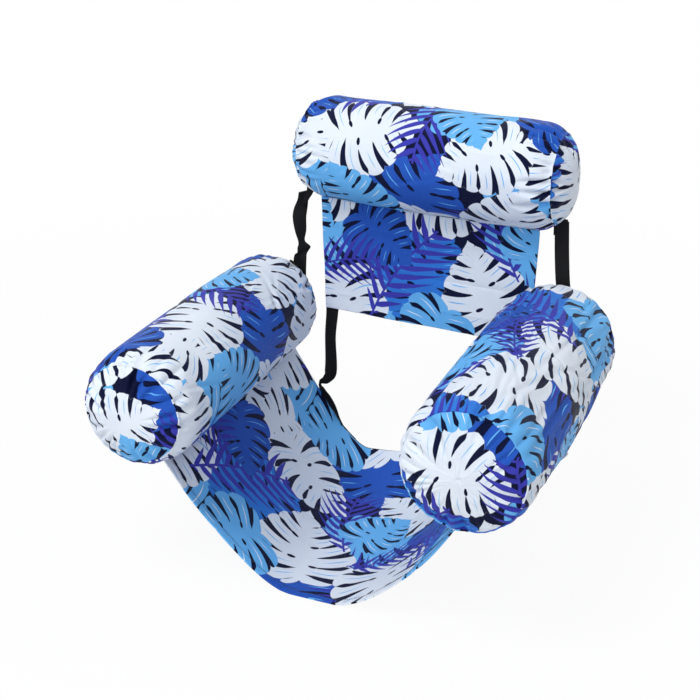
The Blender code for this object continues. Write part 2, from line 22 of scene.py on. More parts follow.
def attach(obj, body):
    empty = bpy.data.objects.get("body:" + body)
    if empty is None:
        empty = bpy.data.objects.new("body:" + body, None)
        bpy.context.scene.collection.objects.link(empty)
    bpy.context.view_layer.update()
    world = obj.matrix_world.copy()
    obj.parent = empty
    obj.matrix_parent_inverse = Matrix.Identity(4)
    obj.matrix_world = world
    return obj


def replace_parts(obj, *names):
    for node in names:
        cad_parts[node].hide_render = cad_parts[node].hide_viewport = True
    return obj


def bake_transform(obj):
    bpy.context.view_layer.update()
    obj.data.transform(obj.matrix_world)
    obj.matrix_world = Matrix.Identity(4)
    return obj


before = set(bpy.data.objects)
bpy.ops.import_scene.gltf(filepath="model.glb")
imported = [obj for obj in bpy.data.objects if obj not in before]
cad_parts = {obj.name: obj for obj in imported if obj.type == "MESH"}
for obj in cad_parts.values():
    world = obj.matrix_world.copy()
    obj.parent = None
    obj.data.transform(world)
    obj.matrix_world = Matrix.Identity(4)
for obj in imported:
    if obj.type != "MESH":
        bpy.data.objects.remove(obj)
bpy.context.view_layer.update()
LOG = logging.getLogger("pool_chair")
Array = np.ndarray
UV_NAME = "Cloth"
UP = np.array((0.0, 0.0, 1.0))
WHITE = (1.0, 1.0, 1.0, 1.0)
# A radius that stands for a point, so that no face is lost.
POINT = 1e-7
# A cap's place along its roll in the grid of the sleeve's places.
OFF_SLEEVE = 9.0


# Shader maths


class Ink(Enum):
    """Dyes of the leaf print, in display colours."""

    WHITE = (0.895, 0.925, 0.962)
    SKY = (0.41, 0.71, 0.94)
    BLUE = (0.19, 0.47, 0.83)
    DEEP = (0.15, 0.34, 0.72)
    VIOLET = (0.235, 0.24, 0.67)
    NAVY = (0.024, 0.055, 0.195)
    PALE = (0.62, 0.80, 0.95)

    @property
    def linear(self) -> tuple:
        """The dye as a linear colour with full alpha."""
        return linear_colour(self.value)


def linear_colour(display: Sequence[float]) -> tuple:
    """Turn a display colour into a linear one.

    Args:
        display: red, green and blue shares as they are seen.

    Returns:
        Linear red, green, blue and an alpha of one.
    """
    shares = np.array(display)
    low, high = shares / 12.92, ((shares + 0.055) / 1.055) ** 2.4
    return tuple(float(v) for v in np.where(shares <= 0.04045, low, high)) + (1.0,)


class Signal:
    """A number that flows through a node tree; Python's operators add Math nodes to it."""

    def __init__(self, bench: "Bench", socket: bpy.types.NodeSocket) -> None:
        """Wrap an output socket of the bench's tree."""
        self.bench, self.socket = bench, socket

    def _node(self, operation: str, *others: object) -> "Signal":
        """One Math node on this number and the others."""
        return self.bench.math(operation, self, *others)

    def _swapped(self, operation: str, other: object) -> "Signal":
        """One Math node on a number at the left and this one."""
        return self.bench.math(operation, other, self)

    __add__, __radd__ = partialmethod(_node, "ADD"), partialmethod(_swapped, "ADD")
    __sub__, __rsub__ = partialmethod(_node, "SUBTRACT"), partialmethod(_swapped, "SUBTRACT")
    __mul__, __rmul__ = partialmethod(_node, "MULTIPLY"), partialmethod(_swapped, "MULTIPLY")
    __truediv__ = partialmethod(_node, "DIVIDE")
    __pow__ = partialmethod(_node, "POWER")
    __abs__ = partialmethod(_node, "ABSOLUTE")
    fract = partialmethod(_node, "FRACT")
    sine = partialmethod(_node, "SINE")
    root = partialmethod(_node, "SQRT")
    sign = partialmethod(_node, "SIGN")
    under = partialmethod(_node, "LESS_THAN")
    larger = partialmethod(_node, "MAXIMUM")

    def rise(self, low: object, high: object) -> "Signal":
        """Smooth step from nought at low to one at high."""
        return self.bench.ramp(self, low, high)


class Bench:
    """A node tree at work: one method adds any node, and short ones do the sums."""

    def __init__(self, tree: bpy.types.NodeTree) -> None:
        """Start with an empty tree."""
        self.tree = tree
        tree.nodes.clear()

    def add(self, kind: str, settings: Optional[dict] = None,
            sockets: Optional[dict] = None) -> bpy.types.Node:
        """Add a node, set its settings first and then its sockets.

        Args:
            kind: the node's type, without its ShaderNode prefix.
            settings: attribute names and values.
            sockets: input names or numbers, with values or things to link.

        Returns:
            The new node.
        """
        node = self.tree.nodes.new(kind if kind.startswith("Node") else "ShaderNode" + kind)
        for name, value in (settings or {}).items():
            setattr(node, name, value)
        for key, value in (sockets or {}).items():
            self.feed(node.inputs[key], value)
        return node

    def feed(self, socket: bpy.types.NodeSocket, value: object) -> None:
        """Link a signal or an output to a socket, or set its value."""
        if isinstance(value, Signal):
            value = value.socket
        if isinstance(value, bpy.types.NodeSocket):
            self.tree.links.new(value, socket)
        else:
            socket.default_value = value

    def math(self, operation: str, *values: object) -> Signal:
        """One Math node on the given values."""
        node = self.add("Math", {"operation": operation}, dict(enumerate(values)))
        return Signal(self, node.outputs[0])

    def ramp(self, value: object, low: object, high: object) -> Signal:
        """One Map Range node, from nought to one with a smooth step."""
        node = self.add("MapRange", {"interpolation_type": "SMOOTHSTEP"},
                        {0: value, 1: low, 2: high})
        return Signal(self, node.outputs[0])

    def vector(self, operation: str, sockets: dict) -> bpy.types.NodeSocket:
        """One Vector Math node; returns its vector."""
        return self.add("VectorMath", {"operation": operation}, sockets).outputs[0]

    def blend(self, share: object, first: object, second: object) -> bpy.types.NodeSocket:
        """Mix two colours by a share."""
        node = self.add("Mix", {"data_type": "RGBA"}, {0: share, 6: first, 7: second})
        return node.outputs[2]

    def split(self, vector: object) -> tuple:
        """X and Y of a vector as signals."""
        node = self.add("SeparateXYZ", None, {0: vector})
        return Signal(self, node.outputs[0]), Signal(self, node.outputs[1])

    def noise(self, vector: object, scale: float, detail: float = 2.0) -> Signal:
        """Noise between nought and one."""
        node = self.add("TexNoise", None, {"Vector": vector, "Scale": scale, "Detail": detail})
        return Signal(self, node.outputs[0])

    def cloth(self) -> bpy.types.NodeSocket:
        """The piece's own cloth coordinates, in metres."""
        return self.add("UVMap", {"uv_map": UV_NAME}).outputs[0]

    def place(self) -> bpy.types.NodeSocket:
        """Object coordinates."""
        return self.add("TexCoord").outputs["Object"]


@dataclass(frozen=True)
class Stamp:
    """One leaf or frond of the print: its inks, its place on the tile, its turn and its size."""

    ink: Ink
    u: float
    v: float
    turn: float
    size: float
    stroke: Optional[Ink] = None

    @property
    def is_frond(self) -> bool:
        """A stamp without strokes is a frond."""
        return self.stroke is None


@dataclass(frozen=True)
class LeafPrint:
    """Tropical print of heart-shaped slit leaves and palm fronds that repeats on a tile.

    Each stamp is a formula in its own frame: x across the leaf, y from its tip to its stalk.
    """

    tile: tuple = (0.44, 0.40)
    blade_half: float = 0.5
    slits: float = 8.0
    leaflets: float = 9.0
    stamps: tuple = (
        Stamp(Ink.DEEP, 0.05, 0.06, 30, 0.20, Ink.SKY),
        Stamp(Ink.SKY, 0.25, 0.02, -70, 0.19, Ink.WHITE),
        Stamp(Ink.BLUE, 0.36, 0.20, 160, 0.20, Ink.SKY),
        Stamp(Ink.SKY, 0.13, 0.25, 100, 0.19, Ink.WHITE),
        Stamp(Ink.WHITE, 0.285, 0.345, -20, 0.15, Ink.SKY),
        Stamp(Ink.VIOLET, 0.16, 0.12, 60, 0.20),
        Stamp(Ink.WHITE, 0.03, 0.18, 200, 0.185, Ink.SKY),
        Stamp(Ink.WHITE, 0.21, 0.10, 20, 0.180, Ink.SKY),
        Stamp(Ink.WHITE, 0.40, 0.345, 75, 0.170, Ink.PALE),
        Stamp(Ink.WHITE, 0.16, 0.365, -120, 0.155, Ink.SKY),
        Stamp(Ink.VIOLET, 0.31, 0.20, -35, 0.20),
        Stamp(Ink.VIOLET, 0.06, 0.30, 15, 0.17),
        Stamp(Ink.SKY, 0.125, 0.295, 150, 0.125, Ink.WHITE),
        Stamp(Ink.SKY, 0.37, 0.08, -30, 0.150, Ink.WHITE),
        Stamp(Ink.DEEP, 0.275, 0.26, 50, 0.135, Ink.SKY),
        Stamp(Ink.VIOLET, 0.19, 0.20, -75, 0.15),
    )

    def _group(self, name: str, outputs: Sequence[str]) -> tuple:
        """Make a node group for one stamp and work out its own x and y.

        Args:
            name: the group's name.
            outputs: names of the masks that it gives.

        Returns:
            The bench, the group's output node, and x and y in leaf lengths.
        """
        tree = bpy.data.node_groups.new(name, "ShaderNodeTree")
        for way, kind, labels in (("INPUT", "Vector", ("Cloth", "Centre")),
                                  ("INPUT", "Float", ("Turn", "Size")),
                                  ("OUTPUT", "Float", outputs)):
            for label in labels:
                tree.interface.new_socket(label, in_out=way, socket_type="NodeSocket" + kind)
        bench = Bench(tree)
        given, result = bench.add("NodeGroupInput"), bench.add("NodeGroupOutput")
        away = bench.vector("SUBTRACT", {0: given.outputs["Cloth"], 1: given.outputs["Centre"]})
        half = (self.tile[0] / 2, self.tile[1] / 2, 1.0)
        near = bench.vector("WRAP", {0: away, 1: half, 2: tuple(-h for h in half)})
        turn = Signal(bench, given.outputs["Turn"]) * -1.0
        turned = bench.add("VectorRotate", {"rotation_type": "Z_AXIS"},
                           {"Vector": near, "Angle": turn}).outputs[0]
        scale = bench.math("DIVIDE", 1.0, given.outputs["Size"])
        local = bench.vector("SCALE", {0: turned, "Scale": scale})
        return (bench, result, *bench.split(local))

    def leaf_group(self) -> bpy.types.NodeTree:
        """A heart-shaped leaf whose slits fan out from its midrib.

        The outline is a circle whose height is lifted by a root of |x|. The veins are lines of
        equal (y - a|x|) / (1 + b|x|). Half way between two of them the margin stands highest, as
        a half ellipse, so that rounded fingers part at the slits. A slit widens as a root of its
        run from its inner end; every second one runs out through the margin, the others close
        before it. Dots sit beside the midrib, and thin strokes run along every second finger.
        """
        bench, result, x, y = self._group("Slit leaf", ("Blade", "Slit", "Stroke"))
        side = abs(x)
        lifted = y - side ** 0.6 * 0.36 + 0.06
        radius = (x * x + lifted * lifted).root() / self.blade_half
        vein = (y - side * 0.16 - 0.1) / (side * 2.1 + 1.0) + side * side * 0.35
        count = vein * self.slits + x.sign() * 0.25
        near = abs(count.fract() - 0.5)
        beside = 1.0 - near * 2.0
        wide = side.rise(0.02, 0.15)
        margin = 1.0 - (1.0 - (1.0 - beside * beside).larger(0.0).root()) * wide * 0.11
        blade = 1.0 - radius.rise(margin - 0.015, margin)
        second = (count * 0.5).fract().rise(0.499, 0.501)
        inner = 0.40 - second * 0.14
        run = ((radius - inner) / (0.98 - inner)).larger(0.0).root()
        closing = 1.0 - (1.0 - second) * radius.rise(0.76, 0.93)
        slit = (run * (second * 0.03 + 0.19) * closing * wide - near).rise(-0.004, 0.02)
        dot_near, dot_out = near / 0.12, (side - 0.10) / 0.04
        dot = 1.0 - (dot_near * dot_near + dot_out * dot_out).rise(0.85, 1.15)
        slit = slit.larger(dot * (1.0 - second) * abs(y).under(0.3)) * blade
        thin = radius.rise(0.35, 0.6) * (1.0 - radius.rise(0.72, 0.9)) * second * 0.06
        stroke = (thin * wide - (0.5 - near)).rise(-0.004, 0.012) * blade
        for label, mask in (("Blade", blade), ("Slit", slit), ("Stroke", stroke)):
            bench.feed(result.inputs[label], mask)
        return bench.tree

    def frond_group(self) -> bpy.types.NodeTree:
        """A palm frond: curved leaflets that slope to the tip, widest before their middle.

        The stalk is a shallow parabola. A leaflet is a stripe of y - a|x| - b x^2, its length
        follows a half ellipse along the stalk, and its width rises from the stalk and then falls
        with a power of the share of its length.
        """
        bench, result, x, y = self._group("Palm frond", ("Frond",))
        bent = x - (y * y - 0.1) * 0.22
        side = abs(bent)
        along = y - side * 0.62 - side * side * 0.9
        reach = (1.0 - (along / 0.52) ** 2.0).larger(0.0).root() * 0.36 + 0.0001
        share = side / reach
        near = abs((along * self.leaflets + bent.sign() * 0.25).fract() - 0.5)
        width = (1.0 - share).larger(0.0) ** 0.75 * share.rise(-0.35, 0.45) * 0.46
        leaflet = (width - near).rise(-0.01, 0.03) * share.under(1.0)
        stalk = (1.0 - side.rise(0.008, 0.014)) * abs(y).under(0.55)
        bench.feed(result.inputs["Frond"], leaflet.larger(stalk))
        return bench.tree

    def paint(self, bench: Bench) -> bpy.types.NodeSocket:
        """Lay the stamps over the dark ground, one after another.

        Args:
            bench: the material's node tree.

        Returns:
            The print's colour.
        """
        cloth = bench.cloth()
        groups = {True: self.frond_group(), False: self.leaf_group()}
        colour: object = Ink.NAVY.linear
        for stamp in self.stamps:
            node = bench.add("Group", {"node_tree": groups[stamp.is_frond]}, {
                "Cloth": cloth, "Centre": (stamp.u, stamp.v, 0.0),
                "Turn": math.radians(stamp.turn), "Size": stamp.size})
            for mask, ink in zip(node.outputs, (stamp.ink, Ink.NAVY, stamp.stroke)):
                colour = bench.blend(mask, colour, ink.linear)
        return colour


# Finishes


@dataclass(frozen=True)
class Finish:
    """What every material has: a name, a base roughness and values that are even all over."""

    name: str
    roughness: float
    even: tuple = ()

    def layers(self, bench: Bench) -> tuple:
        """Colour, roughness and height, with the depth in metres that the height stands for."""
        raise NotImplementedError

    def make(self) -> bpy.types.Material:
        """Build the material: one Principled shader, fed by the finish's layers."""
        material = bpy.data.materials.new(self.name)
        material.use_nodes = True
        bench = Bench(material.node_tree)
        shader = bench.add("BsdfPrincipled", None, dict(self.even))
        bench.feed(bench.add("OutputMaterial").inputs["Surface"], shader.outputs[0])
        colour, roughness, height, depth = self.layers(bench)
        bump = bench.add("Bump", None, {"Strength": 1.0, "Distance": depth, "Height": height})
        bench.feed(shader.inputs["Base Color"], colour)
        bench.feed(shader.inputs["Roughness"], roughness)
        bench.feed(shader.inputs["Normal"], bump.outputs[0])
        return material


@dataclass(frozen=True)
class PrintedPolyester(Finish):
    """Satin polyester with the leaf print, a plain weave and small crinkles."""

    thread: float = 0.0007
    weave_depth: float = 0.00012
    crinkle_depth: float = 0.0016
    pattern: LeafPrint = LeafPrint()

    def layers(self, bench: Bench) -> tuple:
        """The print, toned by wear, over weave and crinkles."""
        place = bench.place()
        colour = self.pattern.paint(bench)
        wear = bench.noise(place, 9.0, 3.0)
        tone = bench.blend(wear.rise(0.25, 0.75), (0.93, 0.94, 0.97, 1.0), WHITE)
        shaded = bench.add("Mix", {"data_type": "RGBA", "blend_type": "MULTIPLY"},
                           {0: 1.0, 6: colour, 7: tone}).outputs[2]
        u, v = bench.split(bench.cloth())
        turns = math.tau / self.thread
        weave = (u * turns).sine() * (v * turns).sine()
        crinkle = abs(bench.noise(place, 24.0, 3.0) - 0.5) + bench.noise(place, 60.0, 2.0) * 0.25
        height = crinkle + weave * (self.weave_depth / self.crinkle_depth)
        return shaded, wear * 0.16 + (self.roughness - 0.08), height, self.crinkle_depth


@dataclass(frozen=True)
class Webbing(Finish):
    """Woven polypropylene webbing: ribs across its width and a herringbone along it."""

    rib: float = 0.0021
    depth: float = 0.0004

    def layers(self, bench: Bench) -> tuple:
        """Slanted ribs with fuzz."""
        u, v = bench.split(bench.cloth())
        slant = abs((u / 0.008).fract() - 0.5) * 0.006 + v
        ribs = (slant * (math.tau / self.rib)).sine() * 0.5 + 0.5
        fuzz = bench.noise(bench.place(), 700.0, 2.0)
        light = ribs * 0.6 + fuzz * 0.4
        colour = bench.blend(light, (0.0025, 0.0025, 0.0032, 1.0), (0.010, 0.010, 0.012, 1.0))
        return colour, fuzz * 0.2 + self.roughness, light, self.depth


@dataclass(frozen=True)
class Film(Finish):
    """Glossy PVC film of the bladders, with faint ripples."""

    def layers(self, bench: Bench) -> tuple:
        """Ripples in all of them."""
        ripple = bench.noise(bench.place(), 32.0, 3.0)
        colour = bench.blend(ripple.rise(0.3, 0.7), (0.50, 0.60, 0.68, 1.0),
                             (0.66, 0.74, 0.80, 1.0))
        return colour, ripple * 0.12 + self.roughness, ripple, 0.0016


@dataclass(frozen=True)
class Vinyl(Finish):
    """Soft moulded vinyl of the valves and plugs, a little yellowed and finely grained."""

    def layers(self, bench: Bench) -> tuple:
        """Stains in the colour, and a fine grain."""
        grain = bench.noise(bench.place(), 900.0, 2.0)
        stain = bench.noise(bench.place(), 90.0, 2.0)
        colour = bench.blend(stain.rise(0.3, 0.75), (0.70, 0.72, 0.74, 1.0),
                             (0.84, 0.85, 0.86, 1.0))
        return colour, grain * 0.1 + self.roughness, grain, 0.0001


@dataclass(frozen=True)
class Thread(Finish):
    """Twisted sewing thread."""

    colour: tuple = (0.02, 0.024, 0.045, 1.0)

    def layers(self, bench: Bench) -> tuple:
        """The twist in all of them."""
        twist = bench.noise(bench.place(), 1800.0, 1.0)
        bright = tuple(min(1.0, 2.4 * c) for c in self.colour[:3]) + (1.0,)
        return (bench.blend(twist, self.colour, bright), twist * 0.15 + self.roughness, twist,
                0.0001)


class Wardrobe:
    """All finishes, made once and shared by the pieces."""

    def __init__(self) -> None:
        """Make the materials."""
        level = "Specular IOR Level"
        self.fabric = PrintedPolyester("Printed polyester", 0.41, ((level, 0.08),)).make()
        self.webbing = Webbing("Black webbing", 0.62, ((level, 0.12),)).make()
        self.film = Film("Clear film", 0.12, (("Coat Weight", 0.4), ("IOR", 1.53))).make()
        self.vinyl = Vinyl("White vinyl", 0.34, (("Subsurface Weight", 0.05), ("IOR", 1.5))).make()
        self.thread = Thread("Navy thread", 0.6, (("Sheen Weight", 0.3),)).make()


# Surfaces


def link(name: str, data: bpy.types.ID) -> bpy.types.Object:
    """New object for some data, linked to the scene."""
    item = bpy.data.objects.new(name, data)
    bpy.context.scene.collection.objects.link(item)
    return item


def quad_grid(rows: int, columns: int, across: int) -> tuple:
    """Each quad's row, column and corners in a grid; with as many across as columns, it wraps."""
    row, column = np.meshgrid(np.arange(rows - 1), np.arange(across), indexing="ij")
    first, second = row * columns + column, row * columns + (column + 1) % columns
    return row, column, np.stack((first, second, second + columns, first + columns), 2)


def grid_mesh(name: str, points: Array, starts: Array, ends: Array, wraps: bool = False,
              tracked: bool = False) -> bpy.types.Object:
    """Join a grid of points with quads that carry their own cloth coordinates.

    Args:
        name: the piece's name.
        points: (rows, columns, 3) points; with wraps, the last column isn't repeated.
        starts: (rows - 1, columns + 1, 2) cloth coordinates on each face row's first side.
        ends: the same on its second side.
        wraps: whether the last column joins the first.
        tracked: whether each vertex keeps its place in the grid, as the attribute spot.

    Returns:
        The new object, linked to the scene, with its poles merged.
    """
    rows, columns = points.shape[:2]
    row, column, quads = quad_grid(rows, columns, columns if wraps else columns - 1)
    cloth = np.stack((starts[row, column], starts[row, column + 1],
                      ends[row, column + 1], ends[row, column]), 2)
    mesh = bpy.data.meshes.new(name)
    mesh.from_pydata(points.reshape(-1, 3), [], quads.reshape(-1, 4))
    layer = mesh.uv_layers.new(name=UV_NAME)
    layer.data.foreach_set("uv", cloth.astype(np.float32).ravel())
    if tracked:
        spots = mesh.attributes.new("spot", "INT", "POINT")
        spots.data.foreach_set("value", np.arange(rows * columns))
    bm = bmesh.new()
    bm.from_mesh(mesh)
    bmesh.ops.remove_doubles(bm, verts=bm.verts, dist=1e-6)
    bm.to_mesh(mesh)
    bm.free()
    mesh.shade_smooth()
    return link(name, mesh)


def sheet_mesh(name: str, points: Array, cloth: Array, wraps: bool = False,
               tracked: bool = False) -> bpy.types.Object:
    """Grid mesh whose cloth coordinates run on from row to row.

    Args:
        name: the piece's name.
        points: (rows, columns, 3) points.
        cloth: (rows, columns, 2) cloth coordinates, one column more where it wraps.
        wraps: whether the last column joins the first.
        tracked: whether each vertex keeps its place in the grid.

    Returns:
        The new object.
    """
    return grid_mesh(name, points, cloth[:-1], cloth[1:], wraps, tracked)


def spline(keys: Sequence[Sequence[float]], count: int) -> Array:
    """Smooth curve through key rows of numbers, by cubic segments whose slopes are chords.

    Args:
        keys: the rows that it passes.
        count: rows wanted.

    Returns:
        The (count, width) rows.
    """
    rows = np.array(keys, float)
    padded = np.concatenate((2 * rows[:1] - rows[1:2], rows, 2 * rows[-1:] - rows[-2:-1]))
    spots = np.linspace(0.0, len(rows) - 1.0, count)
    step = np.minimum(spots.astype(int), len(rows) - 2)
    f = (spots - step)[:, None]
    a, b, c, d = (padded[step + k] for k in range(4))
    return 0.5 * (2 * b + (c - a) * f + (2 * a - 5 * b + 4 * c - d) * f ** 2
                  + (3 * b - a - 3 * c + d) * f ** 3)


def refine(points: Array) -> Array:
    """Double a grid that joins itself across, by cubic spline subdivision; its poles stay."""
    before, after = np.roll(points, 1, 1), np.roll(points, -1, 1)
    wide = np.stack(((before + 6 * points + after) / 8, (points + after) / 2), 2)
    wide = wide.reshape(len(points), -1, 3)
    tall = np.empty((2 * len(wide) - 1, *wide.shape[1:]))
    tall[::2], tall[1::2] = wide, (wide[:-1] + wide[1:]) / 2
    tall[2:-2:2] = (wide[:-2] + 6 * wide[1:-1] + wide[2:]) / 8
    return tall


def refine_cloth(starts: Array, ends: Array) -> tuple:
    """Double cloth coordinates in the same way, half way between their neighbours."""
    middle = (starts + ends) / 2
    starts = np.stack((starts, middle), 1).reshape(-1, *starts.shape[1:])
    ends = np.stack((middle, ends), 1).reshape(-1, *ends.shape[1:])
    result = []
    for side in (starts, ends):
        wide = np.empty((len(side), 2 * side.shape[1] - 1, 2))
        wide[:, ::2], wide[:, 1::2] = side, (side[:, :-1] + side[:, 1:]) / 2
        result.append(wide)
    return tuple(result)


def dress(item: bpy.types.Object, material: bpy.types.Material) -> bpy.types.Object:
    """Give a piece its material."""
    item.data.materials.append(material)
    return item


def thicken(item: bpy.types.Object, thickness: float, offset: float = 0.0) -> bpy.types.Object:
    """Give a sheet its thickness, centred or to one side."""
    shell = item.modifiers.new("Thickness", "SOLIDIFY")
    shell.thickness, shell.offset = thickness, offset
    return item


def thick_side(item: bpy.types.Object, direction: Sequence[float]) -> float:
    """Offset that puts a sheet's thickness on the side that a direction points to."""
    normals = np.zeros(len(item.data.polygons) * 3)
    item.data.polygons.foreach_get("normal", normals)
    return 1.0 if normals.reshape(-1, 3).mean(0) @ direction > 0.0 else -1.0


def windows(values: Array, axis: int, reach: int = 3) -> Array:
    """Neighbours of each value along one axis, as a new last axis; edges repeat."""
    pads = [(reach, reach) if k == axis else (0, 0) for k in range(values.ndim)]
    padded = np.pad(values, pads, "edge")
    return np.lib.stride_tricks.sliding_window_view(padded, 2 * reach + 1, axis)


def surface_normals(points: Array) -> Array:
    """Unit normals of a grid of points, from the cross product of its two slopes."""
    normal = np.cross(np.gradient(points, axis=1), np.gradient(points, axis=0))
    return normal / np.maximum(np.linalg.norm(normal, axis=2, keepdims=True), 1e-12)


def upward_normals(points: Array) -> Array:
    """A grid's unit normals, turned to point up at its middle column."""
    normal = surface_normals(points)
    return normal * np.sign(normal[:, normal.shape[1] // 2, 2].mean())


def run_lengths(path: Array) -> Array:
    """Length of a path up to each of its points."""
    return np.concatenate(([0.0], np.cumsum(np.linalg.norm(np.diff(path, axis=0), axis=1))))


def unit(vectors: Array) -> Array:
    """Directions with a length of one."""
    return vectors / np.linalg.norm(vectors, axis=-1, keepdims=True)


def wrapped(angle: Array) -> Array:
    """Angles brought within half a turn of nought."""
    return (angle + math.pi) % math.tau - math.pi


def fold_mark(distance: Array, width: float) -> Array:
    """Sharp fold with a height of one: exp(-|distance| / width)."""
    return np.exp(-np.abs(distance) / width)


def ring(first: Array, second: Array, count: int) -> Array:
    """Spokes round each point of a path, in the plane of two directions."""
    turn = (np.arange(count) / count * math.tau)[:, None]
    return first[..., None, :] * np.cos(turn) + second[..., None, :] * np.sin(turn)


def tube(name: str, path: Array, radius: float, closed: bool, material: bpy.types.Material,
         cloth_line: Optional[Array] = None) -> bpy.types.Object:
    """Round cord along a path, with its ends drawn to a point where it isn't closed.

    Args:
        name: the piece's name.
        path: (count, 3) points.
        radius: the cord's radius.
        closed: whether it joins itself.
        material: its finish.
        cloth_line: cloth coordinates along it, so it is dyed as the cloth beside it.

    Returns:
        The cord.
    """
    sides = 8
    if closed:
        slope = unit(np.roll(path, -1, 0) - np.roll(path, 1, 0))
    else:
        slope = unit(np.gradient(path, axis=0))
    guide = np.where(np.abs(slope[:, 2:]) > 0.9, [[1.0, 0.0, 0.0]], [UP])
    first = unit(np.cross(slope, guide))
    size = np.full(len(path), radius)
    if not closed:
        size[[0, -1]] = POINT
    points = path[:, None] + ring(first, np.cross(slope, first), sides) * size[:, None, None]
    run = run_lengths(path)
    if closed:
        points = np.concatenate((points, points[:1]))
        run = np.append(run, run[-1] + np.linalg.norm(path[0] - path[-1]))
    girth = np.arange(sides + 1) / sides * math.tau * radius
    cloth = np.stack(np.broadcast_arrays(run[:, None], girth[None, :]), 2)
    if cloth_line is not None:
        cloth = np.repeat(cloth_line[:, None], sides + 1, 1)
    return dress(sheet_mesh(name, points, cloth, True), material)


def stitches(name: str, line: Array, lift: Array, material: bpy.types.Material,
             pitch: float = 0.0045, radius: float = 0.0004) -> bpy.types.Object:
    """Row of sewn stitches along a line, each a small lozenge of thread.

    Args:
        name: the piece's name.
        line: (count, 3) points of the seam line.
        lift: (count, 3) unit directions away from the cloth.
        material: the thread.
        pitch: distance from stitch to stitch.
        radius: the thread's radius.

    Returns:
        One mesh with all the stitches.
    """
    rings, sides = 4, 5
    run = run_lengths(line)
    count = max(2, int(run[-1] / pitch))
    starts = (np.arange(count) + 0.15) * run[-1] / count
    spots = starts[:, None] + np.linspace(0.0, 1.0, rings) * pitch * 0.7
    path, up = (np.stack([np.interp(spots, run, rows[:, k]) for k in range(3)], 2)
                for rows in (line, lift))
    side = np.cross(unit(np.gradient(path, axis=1)), up)
    size = radius * np.array([0.25, 1.0, 1.0, 0.25])
    points = path[:, :, None] + ring(side, up, sides) * size[None, :, None, None]
    base = np.arange(count)[:, None, None] * rings * sides
    quads = quad_grid(rings, sides, sides)[2].reshape(1, -1, 4) + base
    corners = np.arange(sides)
    ends = np.stack((corners[::-1], corners + (rings - 1) * sides)) + base
    mesh = bpy.data.meshes.new(name)
    mesh.from_pydata(points.reshape(-1, 3), [],
                     quads.reshape(-1, 4).tolist() + ends.reshape(-1, sides).tolist())
    mesh.shade_smooth()
    return dress(link(name, mesh), material)


# The chair's sub-assemblies


@dataclass
class Gathers:
    """Gathers where a cap is sewn to a sleeve: lobes of uneven width with sharp valleys between.

    The lobes are a power of |sin| of an angle that runs unevenly round the seam, and two counts
    of them trade places on the way round. They rise with the distance s from the seam as
    s / reach * exp(1 - s / reach). A few long creases fade as exp(-s / length).
    """

    seed: int
    lobes: int = 19
    fine_lobes: int = 33
    depth: float = 0.0215
    reach: float = 0.0150
    creases: int = 11
    crease_depth: float = 0.011

    def __post_init__(self) -> None:
        """Draw the uneven spacing and the creases from the seed."""
        rng = np.random.default_rng(self.seed)
        self.phases = rng.uniform(0.0, math.tau, 8)
        self.crease_turns = rng.uniform(0.0, math.tau, self.creases)
        self.crease_lengths = rng.uniform(0.02, 0.06, self.creases)
        self.crease_widths = rng.uniform(0.035, 0.09, self.creases)
        self.crease_slants = rng.uniform(-3.0, 3.0, self.creases)
        self.crease_sizes = rng.uniform(0.35, 1.0, self.creases)

    def lobe(self, turn: Array, shift: float = 0.0) -> Array:
        """Nought in a valley, one on a lobe's crown."""
        p = self.phases
        uneven = 1.9 * np.sin(2 * turn + p[0]) + 1.5 * np.sin(5 * turn + p[1]) + shift
        coarse = np.abs(np.sin((self.lobes * turn + uneven) / 2.0)) ** 0.7
        fine = np.abs(np.sin((self.fine_lobes * turn - uneven + p[2]) / 2.0)) ** 0.7
        share = 0.5 + 0.5 * np.sin(3 * turn + p[7])
        return coarse * share + (0.35 + 0.65 * fine) * (1.0 - share)

    def depth_at(self, away: Array, turn: Array, shift: float = 0.0) -> Array:
        """How far the fabric lies below its smooth form.

        Args:
            away: distances from the seam.
            turn: angles round it.
            shift: turns the lobes, so a cap's differ from its sleeve's.

        Returns:
            Depths, nought or more.
        """
        p = self.phases
        strength = 0.62 + 0.38 * np.sin(3 * turn + p[3]) * np.sin(2 * turn + p[4])
        reach = self.reach * (1.0 + 0.35 * np.sin(4 * turn + p[5]) + 0.3 * np.sin(11 * turn + p[6]))
        rise = away / reach * np.exp(1.0 - away / reach)
        total = self.depth * strength * rise * (1.0 - self.lobe(turn, shift))
        for where, length, width, slant, size in zip(
                self.crease_turns, self.crease_lengths, self.crease_widths,
                self.crease_slants, self.crease_sizes):
            gap = wrapped(turn - where - slant * away)
            fade = np.exp(-away / length) * (1.0 - np.exp(-away / 0.004))
            total = total + self.crease_depth * size * fade * fold_mark(gap, width)
        return total


